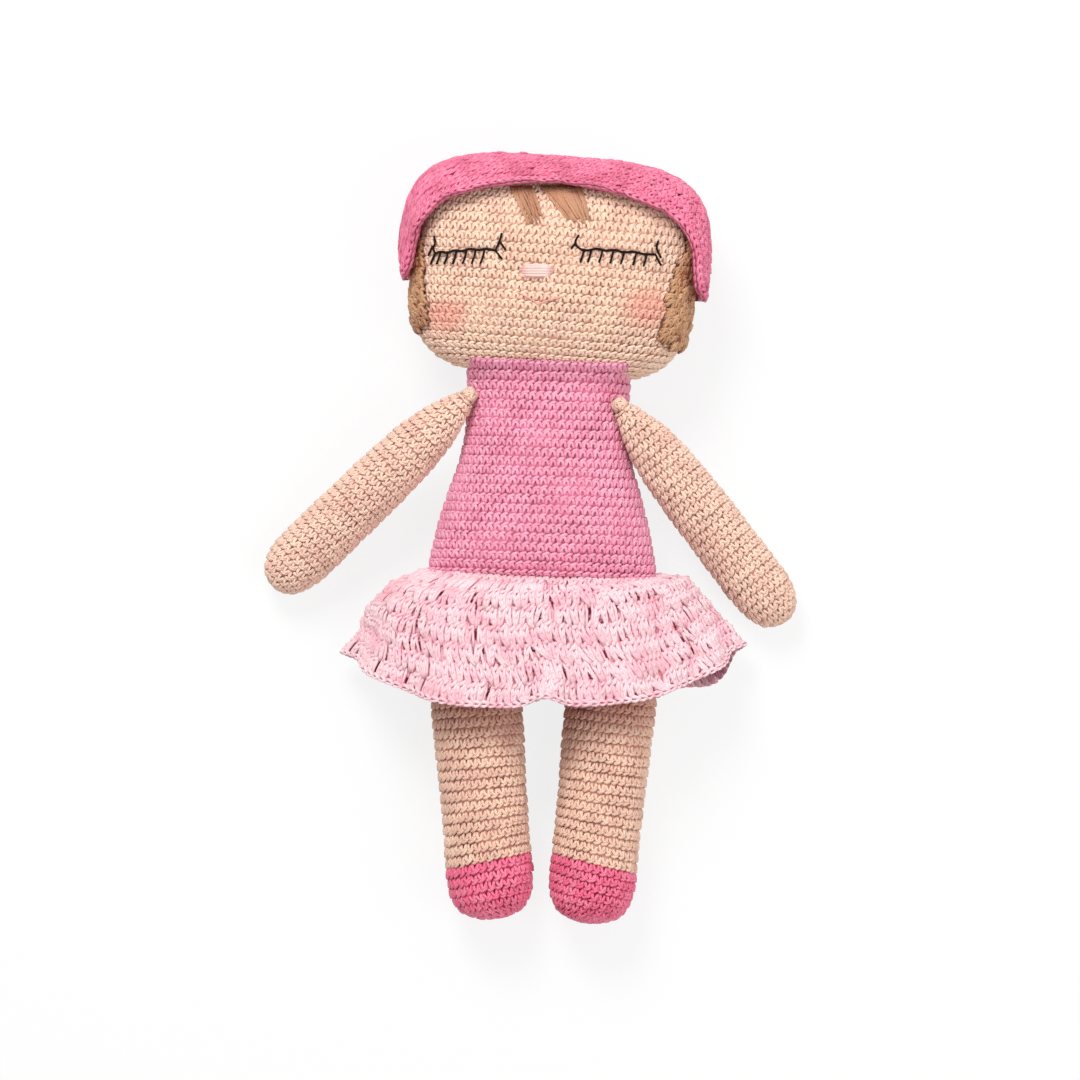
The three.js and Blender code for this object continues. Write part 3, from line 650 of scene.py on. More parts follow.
levels = body_form[0][:, :, 1].mean(axis=1)
neck_from = float(np.interp(neck_seam - overlap, levels, body_form[1]))
body_end = body_form[1][-1]

torso = wrapped("bodice_ground", body_form, (0, neck_from + overlap))
finish_piece(torso, bodice_ground, "body", ["torso_cover"])
bodice = fabric("bodice_stitches", lay(body_form, (1.5 * mm, neck_from)))
finish_piece(bodice, bodice_yarn, "body")
neck = wrapped("neck_ground", body_form, (neck_from - overlap, body_end))
finish_piece(neck, bodice_ground, None, ["neck"])
neck_rounds = fabric("neck_stitches", lay(body_form, (neck_from, body_end - 1 * mm), first=24))
finish_piece(neck_rounds, bodice_yarn, None)
for piece in (neck, neck_rounds):
    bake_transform(piece)
print("bodice:", len(bodice.data.polygons), "faces; neck:", len(neck_rounds.data.polygons))

# %% [markdown]
# ## Head
# The head is a wide flat pillow of skin-coloured rounds. The hair is a crocheted cap over its sides and back, so
# the stitches of the face stop where the hair begins, and the hair takes the same rounds, lifted by its thickness.
# Its ground isn't wrapped but a copy of the frame's cap, because the cap's open edge is no level round. The copy's
# loose triangles are merged and made denser, so that it can be smoothed.

# %% Face and hair
head_axis = Vector(joints["hat_pull"]["axis"])
head_form = measure(["head_cover", "head_stuffing"], head_axis)
head_end, head_centre = head_form[1][-1], head_form[0].mean(axis=(0, 1))
hair_tree = surface_of("hair_cap")[0]
hair_lift, hair_reach = 1.8 * mm, 6 * mm
face_tuck = np.array([0.94, 1, 1])  # the face's stitches run on a little way under the hair


def under_hair(points):
    """Tells which points of the head lie under the hair cap."""
    found = []
    for point in points:
        out = Vector(point - head_centre).normalized()
        start = Vector(point) - out * 0.5 * mm
        found.append(hair_tree.ray_cast(start, out, hair_reach)[0] is not None)
    return np.array(found)


def own_copy(node, name, smoothing=3, sink=0.0):
    """A copy of a CAD node, merged, made denser and smoothed, that stands for it."""
    bpy.ops.object.select_all(action="DESELECT")
    bpy.ops.mesh.primitive_plane_add(location=(0, 0, 0))
    piece = bpy.context.object
    piece.name = name
    piece.data = nodes[node].data.copy()
    bpy.ops.object.mode_set(mode="EDIT")
    bpy.ops.mesh.select_all(action="SELECT")
    bpy.ops.mesh.remove_doubles(threshold=0.01 * mm)
    bpy.ops.mesh.subdivide(number_cuts=1, smoothness=0)
    bpy.ops.mesh.vertices_smooth(factor=0.5, repeat=smoothing)
    if sink:
        bpy.ops.transform.shrink_fatten(value=-sink)
    bpy.ops.object.mode_set(mode="OBJECT")
    bpy.ops.object.shade_smooth()
    return piece


head = wrapped("head_ground", head_form, across=128)
finish_piece(head, face_ground, "head", ["head_cover"])
face = fabric("face_stitches", lay(
    head_form, (1 * mm, head_end - 1 * mm), keep=lambda p: ~under_hair(p * face_tuck)))
finish_piece(face, face_yarn, "head")
hair = fabric("hair_stitches", lay(
    head_form, (1 * mm, head_end - 1 * mm), width=2.5 * mm, height=2.7 * mm, keep=under_hair, raised=hair_lift,
    rough=3.4, lean=0.8))
finish_piece(hair, hair_yarn, "head")
hair_cap = own_copy("hair_cap", "hair_ground", smoothing=4, sink=0.75 * mm)
finish_piece(hair_cap, hair_ground, "head", ["hair_cap"])
print("face:", len(face.data.polygons), "faces; hair:", len(hair.data.polygons))

# %% [markdown]
# ## Arms and legs
# Each limb is a tube of rounds that starts in a small ring at its far end. The rounds of an arm run straight across
# it. Those of a leg tilt a little toward the foot, because the shoe is worked at a slant, higher on the inner side.

# %% Limbs


def long_axis(*names):
    """The way in which some nodes are longest, toward the far end of the limb."""
    corners = surface_of(*names)[1]
    spread = np.linalg.svd(corners - corners.mean(axis=0), full_matrices=False)[2][0]
    axis = Vector((spread[0], spread[1], 0)).normalized()
    return axis if axis.y < 0 else -axis


limb_margin = 0.8 * mm
for side in ("left", "right"):
    form = measure([f"{side}_arm_cover", f"{side}_arm_stuffing"], long_axis(f"{side}_arm_cover"))
    end = form[1][-1]
    arm = wrapped(f"{side}_arm_ground", form, across=48)
    finish_piece(arm, skin_ground, f"{side}_arm", [f"{side}_arm_cover"])
    stitches = fabric(f"{side}_arm_stitches", lay(form, (limb_margin, end - limb_margin), rough=1.3))
    finish_piece(stitches, arm_yarn, f"{side}_arm")
    print(side, "arm:", len(stitches.data.polygons), "faces")

shoe_slant, shoe_drop = math.radians(7.5), 3.4 * mm  # the shoe's slanting edge reaches this far below its top
for side, turned in (("left", 1), ("right", -1)):
    axis = long_axis(f"{side}_leg_cover", f"{side}_shoe")
    form = measure([f"{side}_leg_cover", f"{side}_shoe", f"{side}_leg_stuffing"], axis, slant=shoe_slant * turned)
    end = form[1][-1]
    line = surface_of(f"{side}_shoe")[1][:, 1].max() - shoe_drop
    levels = form[0][:, :, 1].mean(axis=1)
    shoe_from = float(np.interp(-line, -levels, form[1]))
    leg = wrapped(f"{side}_leg_ground", form, (0, shoe_from), across=64)
    finish_piece(leg, skin_ground, f"{side}_leg", [f"{side}_leg_cover"])
    foot = wrapped(f"{side}_shoe_ground", form, (shoe_from, end), across=64)
    finish_piece(foot, shoe_ground, f"{side}_leg", [f"{side}_shoe"])
    stitches = fabric(f"{side}_leg_stitches", lay(form, (limb_margin, shoe_from), height=4.0 * mm, rough=1.3))
    finish_piece(stitches, leg_yarn, f"{side}_leg")
    shoes = fabric(f"{side}_shoe_stitches", lay(
        form, (shoe_from, end - limb_margin), width=3.1 * mm, raised=0.15 * mm, first=9, rough=1.3))
    finish_piece(shoes, shoe_yarn, f"{side}_leg")
    print(side, "leg:", len(stitches.data.polygons), "faces; shoe:", len(shoes.data.polygons))

# %% [markdown]
# ## Hat
# The hat is a soft cap of fine rounds that start at the crown and end at its corded edge. So its rounds don't lie
# level: each one runs beside the edge. Every place on the edge is joined to the crown by an arc over the head, and
# a ray along each arc finds the hat's outside. The edge itself is read from the cord of the frame. The hat's inner
# side shows at its edge, and all of it when the hat is pulled off, so rounds of stitches are laid there too.

# %% Hat
hat_levels, edge_blur, hat_tip = 46, 0.06, 0.05
hat_tree = surface_of("hat", "hat_edging")[0]
head_middle = Vector(head_centre)
crown = (head_axis * 0.78 - up * 0.62).normalized()
edge_corners = surface_of("hat_edging")[1] - np.array(head_middle)
east = up.cross(head_axis).normalized()
south = np.array(crown.cross(east).normalized())
bearing = np.arctan2(edge_corners @ south, edge_corners @ np.array(east))
edge = []
for i in range(round_points):
    angle = -math.pi + 2 * math.pi * i / round_points
    turned = np.abs((bearing - angle + math.pi) % (2 * math.pi) - math.pi)
    weight = np.exp(-(turned / edge_blur) ** 2)
    edge.append((edge_corners * weight[:, None]).sum(axis=0) / weight.sum())
edge = evenly(np.array(edge))
hat_rounds = []
for k in range(hat_levels):
    share = (k + 1) / hat_levels
    ring = []
    for point in edge:
        aim = Vector(point).normalized()
        angle = crown.angle(aim)
        out = (crown * math.sin((1 - share) * angle) + aim * math.sin(share * angle)) / math.sin(angle)
        found = hat_tree.ray_cast(head_middle + out * far, -out, far)[0]
        ring.append(found if found is not None else head_middle + aim * Vector(point).length)
    hat_rounds.append(evenly(np.array(ring)))
hat_rounds = np.array(hat_rounds)
hat_rounds[1:-1] = (hat_rounds[:-2] + 2 * hat_rounds[1:-1] + hat_rounds[2:]) / 4
# The two ends of the hat hang straight down beside the hair, so they are kept from spreading outward.
west_limit = np.interp(hat_rounds[:, :, 1] / mm, (81, 88, 98, 104), (-53.5, -56, -58.5, -70)) * mm
east_limit = np.interp(hat_rounds[:, :, 1] / mm, (72, 80, 92, 98), (60.5, 64, 66.5, 80)) * mm
hat_rounds[:, :, 0] = np.clip(hat_rounds[:, :, 0], west_limit, east_limit)
tip = hat_rounds[0].mean(axis=0)
hat_rounds = np.concatenate([[tip + (hat_rounds[0] - tip) * hat_tip], hat_rounds])
hat_steps = np.linalg.norm(np.diff(hat_rounds, axis=0), axis=2).mean(axis=1)
hat_form = (hat_rounds, np.concatenate([[0], np.cumsum(hat_steps)]))
# Rounds that run the wrong way about would turn every stitch inside out, so they are turned about here.
if np.dot(np.cross(hat_rounds[20, 1] - hat_rounds[20, 0], hat_rounds[21, 0] - hat_rounds[20, 0]),
          hat_rounds[20, 0] - np.array(head_middle)) < 0:
    hat_form = (hat_rounds[:, ::-1], hat_form[1])
hat_end = hat_form[1][-1]
print("hat:", round(hat_end / mm, 1), "mm from crown to edge")
hat_skin = wrapped("hat_ground", hat_form, (0, hat_end - 0.6 * mm), depth=-1.2 * mm, across=128, closed=False)
thick = hat_skin.modifiers.new("wall", "SOLIDIFY")
thick.thickness, thick.offset = 1.0 * mm, -1
bpy.ops.object.modifier_apply(modifier=thick.name)
finish_piece(hat_skin, hat_ground, "hat", ["hat"])
hat_rows = fabric("hat_stitches", lay(
    hat_form, (0.8 * mm, hat_end - 2.2 * mm), width=2.8 * mm, height=2.9 * mm, rough=1.9))
finish_piece(hat_rows, hat_yarn, "hat")
hat_inside = fabric("hat_inside", lay(
    hat_form, (1.5 * mm, hat_end - 2.2 * mm), stitch=inside_out(single_crochet, 2.3 * mm),
    width=3.5 * mm, height=3.6 * mm))
finish_piece(hat_inside, hat_yarn, "hat")
print("hat:", len(hat_rows.data.polygons), "faces, and inside", len(hat_inside.data.polygons))

# %% [markdown]
# The edge of the hat and the hem of the skirt are finished with slip stitches, which lie along the edge like the
# links of a chain. One link is a flat loop that narrows into the next one.

# %% Chain edge
link = [(-1.7, 0.75, -0.5), (-0.3, 0.95, 0.1), (1.3, 0.25, 0.05),
        (1.3, -0.25, 0.05), (-0.3, -0.95, 0.1), (-1.7, -0.75, -0.5)]
chain_link = template(strand(link, 1.6))
chains = []
for low, high, raised in ((-2.3, 0.3, 0.8), (-1.9, 0.7, -0.9)):  # one chain outside the edge and one inside
    chains += lay(hat_form, (hat_end + low * mm, hat_end + high * mm), stitch=chain_link, width=3.1 * mm,
                  height=2.6 * mm, raised=raised * mm)
hat_edge = fabric("hat_edge_chain", chains)
finish_piece(hat_edge, hat_yarn, "hat", ["hat_edging"])


# %% [markdown]
# ## Skirt
# The skirt is a gathered flounce of tall open stitches whose posts stand apart, so that one sees dark gaps. It is
# wide and flat with two lobes, a notch in front and lifted corners. The frame's skirt is plainer than that, so these
# rounds aren't measured but worked out from the skirt's own sizes, as its pattern would give them. At its top the
# skirt is gathered in to the bodice, and a ray from each place of the waist finds how far.

# %% Skirt form
skirt_waist, skirt_waist_depth, skirt_top = 40.0 * mm, 22.0 * mm, -31.5 * mm
skirt_length, skirt_hem, skirt_puff, skirt_puff_share = 53.0 * mm, 77.3 * mm, 10.5 * mm, 0.13
skirt_turn, skirt_rise, skirt_dip = math.radians(3), 5.5 * mm, 4.0 * mm
corner_lift, corner_sag, notch_height, notch_width = 22.0 * mm, 11.0 * mm, 4.0 * mm, 6.0 * mm
fold_depth, fold_count, skirt_thickness = 2.2 * mm, 12, 2.4 * mm
ruffle_depth, ruffle_spacing, skirt_shoulder = 1.7 * mm, 2.5 * mm, 4.5 * mm
crease_start, crease_end = (39 * mm, -39 * mm), (60.5 * mm, -66.3 * mm)
crease_depth, crease_half = 3.0 * mm, 2.4 * mm
crease_length = math.dist(crease_start, crease_end)
crease_way = [(b - a) / crease_length for a, b in zip(crease_start, crease_end)]
body_height, skirt_clearance, skirt_floor = 22.4 * mm, 0.35 * mm, 0.9 * mm
under_lobe, under_place, under_width = 6.5 * mm, 68 * mm, 10 * mm
skirt_levels, gather_levels, gather_reach, least_gather = 40, 4, 14 * mm, 0.4 * mm
waist_narrowing, waist_rise = 0.8, 6 * mm


def rising(value, start, end):
    """Goes smoothly from 0 at start to 1 at end."""
    t = np.clip((value - start) / (end - start), 0, 1)
    return t * t * (3 - 2 * t)


def skirt_round(share):
    """One round of the skirt, from the waist at share 0 to the hem at share 1."""
    angle = -math.pi / 2 - 2 * math.pi * np.arange(round_points) / round_points
    puffed = rising(share, 0, skirt_puff_share)
    side, front = np.cos(angle), np.sin(angle)
    room = skirt_clearance + skirt_thickness
    flare = skirt_hem - skirt_waist - skirt_puff - skirt_thickness
    half_width = skirt_waist + room + skirt_puff * puffed + flare * share
    fold = fold_depth * share * rising(front, -0.6, 0.1) * np.cos(fold_count * angle)
    rise = np.where(front > 0, skirt_rise * puffed, 0)
    shoulder = skirt_shoulder * math.sin(math.pi * min(share / 0.7, 1)) * np.maximum(-side, 0) ** 2
    x = (half_width + fold) * side - shoulder
    z = (skirt_waist_depth + room + rise + fold) * front - corner_sag * share * np.abs(side) ** 3
    notch = notch_height * share * np.exp(-((x / notch_width) ** 2))
    lift = corner_lift * share * np.abs(side) ** 3.3 + notch
    lift = lift - under_lobe * share * np.exp(-(((x - under_place) / under_width) ** 2)) * rising(-front, 0, 0.5)
    y = lift - skirt_dip * (1 - share) * np.maximum(front, 0) - skirt_length * share
    ruffle = ruffle_depth * share * np.sin(x / ruffle_spacing + 1.2 * math.sin(7 * share)) * rising(front, 0.1, 0.5)
    turn = skirt_turn * puffed
    x, y = x * math.cos(turn) - y * math.sin(turn), x * math.sin(turn) + y * math.cos(turn)
    y = y + skirt_top
    lean = -body_lean
    x, y = x * math.cos(lean) - y * math.sin(lean), x * math.sin(lean) + y * math.cos(lean)
    down_crease = ((x - crease_start[0]) * crease_way[0] + (y - crease_start[1]) * crease_way[1]) / crease_length
    off_crease = (x - crease_start[0]) * crease_way[1] - (y - crease_start[1]) * crease_way[0]
    reach = rising(down_crease, -0.2, 0.2) * (1 - rising(down_crease, 0.9, 1.15)) * rising(front, 0, 0.3)
    crease = reach * (crease_depth * np.exp(-((off_crease / crease_half) ** 2))
                      - crease_depth * 0.6 * np.exp(-(((off_crease + 2.6 * crease_half) / (1.8 * crease_half)) ** 2)))
    return np.stack([x, y, np.maximum(z + ruffle - crease + body_height, skirt_floor)], axis=1)


skirt_rounds = np.array([evenly(skirt_round(share)) for share in np.linspace(0, 1, skirt_levels)])[::-1]
torso_tree = surface_of("torso_cover", "torso_stuffing")[0]
waist = skirt_rounds[-1]
aim = np.stack([waist[:, 0] * waist_narrowing, waist[:, 1] + waist_rise, np.full(round_points, body_height)], axis=1)
inward = (aim - waist) / np.linalg.norm(aim - waist, axis=1, keepdims=True)
gap = []
for point, way in zip(waist, inward):
    distance = torso_tree.ray_cast(Vector(point), Vector(way), gather_reach)[3]
    gap.append(distance if distance and point[2] > body_height else least_gather)
gap = np.array(gap)
gap = sum(np.roll(gap, k) for k in range(-3, 4)) / 7
gathered = [waist + inward * (gap * k / gather_levels)[:, None] for k in range(1, gather_levels + 1)]
skirt_rounds = np.concatenate([skirt_rounds, gathered])
skirt_steps = np.linalg.norm(np.diff(skirt_rounds, axis=0), axis=2).mean(axis=1)
skirt_form = (skirt_rounds, np.concatenate([[0], np.cumsum(skirt_steps)]))
skirt_end, gather_end = skirt_form[1][-1 - gather_levels], skirt_form[1][-1]
print("skirt:", round(skirt_end / mm, 1), "mm long and", round((gather_end - skirt_end) / mm, 1),
      "mm gathered in to the bodice; widest gap", round(gap.max() / mm, 1), "mm")

# %% [markdown]
# A tall stitch is a post of two strands side by side, with two shorter ones that cross over them. Here and there a
# stitch is pulled open to a slit: only two thin strands, with the dark ground between them. The inner side shows
# under the hem, so the stitches are laid there too, turned inside out. Three parts are made: the two halves of the
# front, and the waist and back, which stay with the body. The front begins on the very plane where the back ends,
# so that no gap opens along it.

# %% Tall stitches
tall_width, tall_height = 2.9 * mm, 7.6 * mm
tall_rounds = {"width": tall_width, "height": tall_height, "lean": 0.5}
tall_stitch = template(
    strand([(0.1, -4.6, -0.9), (-0.3, -2.2, -0.2), (-0.8, 0.6, -0.1), (-1.3, 3.9, -0.9)], 1.7),
    strand([(0.4, -4.5, -1.0), (0.6, -2.0, -0.3), (0.5, 1.2, -0.1), (1.4, 4.2, -0.9)], 1.7),
    strand([(-1.3, -1.6, -0.7), (-0.1, 0.0, 0.45), (1.2, 1.7, -0.7)], 1.55),
    strand([(-1.7, 1.9, -0.9), (-0.2, 3.4, 0.2), (1.3, 5.1, -0.8)], 1.55))
print("tall stitch:", len(tall_stitch["faces"]), "faces")

# %% Parts of the skirt
skirt_depth, lining_from = -1.1 * mm, -50 * mm  # the inner side shows only below this place
inner_stitch = inside_out(tall_stitch, -2 * skirt_depth)
open_stitch = template(
    strand([(-1.2, -4.6, -0.9), (-1.0, -1.5, -0.3), (-1.1, 1.6, -0.2), (-1.4, 4.4, -0.9)], 1.2),
    strand([(1.2, -4.5, -1.0), (1.1, -1.5, -0.4), (1.3, 1.5, -0.3), (1.1, 4.3, -0.9)], 1.2))
open_share = 0.09


def open_place(p):
    """Picks scattered places of the skirt, where a stitch is pulled open to a dark slit."""
    return (np.sin(p[:, 0] * 9100 + p[:, 1] * 23700) * 431.7) % 1 < open_share


def part_of_skirt(name, keep):
    """The ground, the stitches and the area of the places that keep picks."""
    ground = wrapped(f"{name}_ground", skirt_form, (0.5 * mm, gather_end), depth=skirt_depth, across=160, closed=False)
    bpy.ops.object.mode_set(mode="EDIT")
    bpy.ops.mesh.select_all(action="DESELECT")
    bpy.ops.object.mode_set(mode="OBJECT")
    for face in ground.data.polygons:
        face.select = not keep(np.array([face.center]))[0]
    bpy.ops.object.mode_set(mode="EDIT")
    bpy.ops.mesh.select_mode(type="FACE")
    bpy.ops.mesh.delete(type="FACE")
    bpy.ops.object.mode_set(mode="OBJECT")
    area = sum(face.area for face in ground.data.polygons)
    finish_piece(ground, skirt_ground, None)
    span = (1.4 * mm, skirt_end)
    posts = lay(skirt_form, span, tall_stitch, rough=2.6, keep=lambda p: keep(p) & ~open_place(p), **tall_rounds)
    posts += lay(skirt_form, span, open_stitch, rough=0.8, keep=lambda p: keep(p) & open_place(p), **tall_rounds)
    posts += lay(skirt_form, (skirt_end, gather_end - 0.3 * mm), width=2.8 * mm, keep=keep, raised=0.1 * mm)
    posts = fabric(f"{name}_stitches", posts)
    hem = fabric(f"{name}_hem", lay(
        skirt_form, (0.1 * mm, 2.3 * mm), chain_link, width=3.4 * mm, height=2.2 * mm, keep=keep, raised=0.2 * mm))
    inside = fabric(f"{name}_inside", lay(
        skirt_form, span, inner_stitch, rough=1.5, keep=lambda p: keep(p) & (p[:, 1] < lining_from), **tall_rounds))
    covers = [posts, hem, inside]
    for piece in covers:
        finish_piece(piece, shaded_inner_yarn if piece == inside else skirt_yarn, None)
    print(name, "area", round(area * 1e4, 1), "cm2", sum(len(piece.data.polygons) for piece in covers), "faces")
    return ground, covers, area


skirt_middle = 0.6 * mm
fold_start, fold_end = np.array((0, -38, 47)) * mm, np.array((0, -57, 67.7)) * mm
fold_way = fold_end - fold_start
parts = {
    "skirt_front_left": lambda p: ((p - fold_start) @ fold_way > 0) & (p[:, 0] < skirt_middle),
    "skirt_front_right": lambda p: ((p - fold_start) @ fold_way > 0) & (p[:, 0] >= skirt_middle),
    "skirt_waist_and_back": lambda p: (p - fold_start) @ fold_way <= 0,
}
for name, keep in parts.items():
    ground, covers, area = part_of_skirt(name, keep)
    if name == "skirt_waist_and_back":
        for piece in (ground, *covers):
            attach(piece, "body")
        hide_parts("skirt")
    else:
        for piece in (ground, *covers):
            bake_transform(piece)

# %% [markdown]
# ## Face
# The closed eyes are backstitched in black thread: a lid with lashes hanging from it and a fork at each end. The
# nose is a few laid strands of pale yarn over a thin pink thread, and the mouth is one fine pink thread in a V.
# Each thread is a curve whose knots are set on the face by a ray from the front, just above the stitches.

# %% Embroidery
above_face, thread_height, thread_map = 0.2, 0.9, np.array([1, 3.0])


def on_face(x, y, lift):
    """The place on the face at x and y, raised by lift, all in millimetres."""
    place = face_tree.ray_cast(Vector((x * mm, y * mm, above_face)), Vector((0, 0, -1)))[0]
    return Vector((place.x, place.y, place.z + lift * mm))


def sewn(points, thickness, lift=0.85, dive=0.4):
    """One thread on the face: its ends dive into the fabric."""
    knots = [on_face(x, y, lift) for x, y in points]
    knots[0].z -= dive * mm
    knots[-1].z -= dive * mm
    return bent_yarn(knots, thickness * mm, steps=4)


def joined_threads(name, threads, material, body="head", replaced=(), more=()):
    """One piece of several threads, and of more blocks of stitches where there are some."""
    blocks = list(more)
    for thread in threads:
        shape = template(thread)
        n = len(shape["corners"])
        blocks.append((shape["corners"], shape["faces"], shape["map"] * thread_map, np.full(n, thread_height),
                       np.full(n, chance.uniform())))
    print(name, "of", len(threads), "threads")
    return finish_piece(fabric(name, blocks), material, body, replaced)


def thread_material(name, colour, deep):
    light = tuple(min(1, c * 1.3 + 0.004) for c in colour)
    return yarn_material(name, colour, deep, light, turns=4.0, bump=0.3, roughness=0.7, sheen=0.0, specular=0.08)


nose_ends = [((x * mm, 84.5 * mm), (3.4 * mm, 4 * mm), (0.85, 0.42, 0.38), 0.8) for x in (-9.6, 3.2)]
black_thread = thread_material("Black thread", (0.018, 0.007, 0.007), (0.006, 0.003, 0.003))
nose_yarn = yarn_material("Nose yarn", (0.97, 0.74, 0.66), (0.85, 0.5, 0.44), (1.0, 0.88, 0.82), nose_ends)
mouth_thread = thread_material("Mouth thread", (0.8, 0.38, 0.34), (0.6, 0.22, 0.2))

left_eye = [[(-43.0, 98.2), (-42.6, 95.2), (-43.3, 93.6), (-42.4, 91.2)], [(-43.6, 94.4), (-45.2, 90.6)],
            [(-42.5, 91.3), (-40.4, 92.0), (-38, 91.6), (-35, 92.4), (-32, 92.2),
             (-29, 92.9), (-26, 92.5), (-23, 92.9), (-19, 92.2)],
            [(-16.7, 99.0), (-17.6, 95.8), (-19.2, 92.2)], [(-17.7, 96.0), (-15.2, 92.5)],
            [(-19.2, 92.3), (-16.6, 89.0)]]
left_eye += [[(x, y), (x - 0.7, 89.6), (x - 1.6, 87.2)] for x, y in (
    (-42.7, 91.2), (-40.4, 91.9), (-37.4, 92.2), (-34.2, 92.4), (-30.3, 92.6), (-26.8, 92.6), (-23.4, 92.5))]
right_eye = [[(13.0, 98.2), (11.7, 95.1), (13.8, 92.6)], [(11.8, 95.3), (10.0, 92.8)],
             [(13.8, 92.6), (16.5, 92.3), (20, 92.9), (23.5, 92.2), (27, 92.4),
              (30.5, 91.6), (34, 91.8), (38, 91.0), (42.2, 90.9)],
             [(43.7, 96.0), (43.2, 93.2), (44.9, 89.7)], [(42.5, 91.1), (44.9, 86.6)]]
right_eye += [[(x, y), (x - 0.6, y - 2.4), (x - 1.4, y - 4.8)] for x, y in (
    (15.0, 92.4), (17.9, 92.5), (22.2, 92.4), (26.4, 92.1), (30.6, 91.9), (35.3, 91.4), (39.4, 91.1))]
for name, lines in (("left_eye", left_eye), ("right_eye", right_eye)):
    threads = [sewn(line, 1.0 if len(line) > 4 else 0.85) for line in lines]  # the lid is a little thicker
    joined_threads(f"{name}_threads", threads, black_thread, replaced=[f"{name}_stitching"])

nose_rows = ((82.9, 1.6, -0.3), (83.8, 0.5, -0.1), (84.7, 0, 0), (85.6, 0.5, 0.2), (86.3, 1.8, 0.3))
nose_lines = [[(-9.9 + inset, y), (-3.2, y + bow), (3.6 - inset, y)] for y, inset, bow in nose_rows]
threads = [sewn(line, 1.25, lift=1.05, dive=1.3) for line in nose_lines]
joined_threads("nose_laid_yarn", threads, nose_yarn, replaced=["nose_stitching"])
threads = [sewn([(-9.4, 82.2), (-3.4, 81.7), (1.8, 82.1)], 0.4, lift=0.7)]
joined_threads("nose_under_thread", threads, mouth_thread)
mouth = [(-10.5, 76.1), (-6.6, 74.1), (-3.4, 72.1), (-2.7, 71.6), (-1.8, 72.0), (2.4, 73.3), (7.4, 74.6)]
threads = [sewn(mouth, 0.6, lift=0.75)]
joined_threads("mouth_threads", threads, mouth_thread, replaced=["mouth_stitching"])

# %% [markdown]
# ## Fringe
# Two tufts of light brown yarn hang out under the hat. Each is a fan of strands laid side by side over the
# forehead, slanting to the right. The strands are all bent from one helper and differ a little in length and lie.

# %% Tufts


def tuft(name, top, bottom, high, low, count, replaced):
    """A fan of strands from one stretch in x at a height to another below it, in millimetres."""
    strands = []
    for k in range(count):
        t = (k + 0.5) / count
        x0, x1 = top[0] + (top[1] - top[0]) * t, bottom[0] + (bottom[1] - bottom[0]) * t
        y1 = low[0] + (low[1] - low[0]) * t + chance.normal(0, 0.9)
        x1 += chance.normal(0, 0.45)
        bulge = 1.1 - 0.8 * abs(2 * t - 1) + chance.uniform(-0.25, 0.25)
        middle = ((x0 + x1) / 2 + 0.4 * (t - 0.5), (high + y1) / 2)
        knots = [on_face(x0, high, 0.4 + bulge), on_face(*middle, 0.6 + bulge), on_face(x1, y1, 0.2)]
        strands.append(bent_yarn(knots, 0.72 * mm, steps=4))
    joined_threads(name, strands, fringe_yarn, replaced=replaced)


tuft("left_tuft", (-13.6, -5.0), (-6.6, -0.6), 117.4, (103.2, 105.6), 17, ["left_bangs"])
tuft("right_tuft", (-2.0, 14.2), (9.4, 17.8), 117.6, (104.2, 103.6), 28, ["right_bangs"])

# %% [markdown]
# ## Seams
# An arm hangs by a knot of its own yarn, wound round the shoulder a few times, and a leg by a whipped seam under
# the skirt. The knot is a ball of small stitches round a bundle of standing rings, with a few strands drawn over it
# along the arm. The seam is a row of slanting stitches, with the same ones on its under side.

# %% Shoulder knots and hip seams
knot_radius, knot_yarn = 1.5 * mm, 1.6 * mm
whip_count, whip_yarn = 7, 1.4 * mm


def ring_of_yarn(centre, turn):
    """A ring of yarn that stands upright round a place, turned about the upright."""
    bpy.ops.object.select_all(action="DESELECT")
    bpy.ops.mesh.primitive_torus_add(location=(0, 0, 0), major_segments=20, minor_segments=6,
                                     major_radius=knot_radius, minor_radius=knot_yarn / 2)
    ring = bpy.context.object
    upright = Matrix.Rotation(math.radians(90), 4, "X")
    ring.data.transform(Matrix.Translation(centre) @ Matrix.Rotation(turn, 4, "Z") @ upright)
    return ring


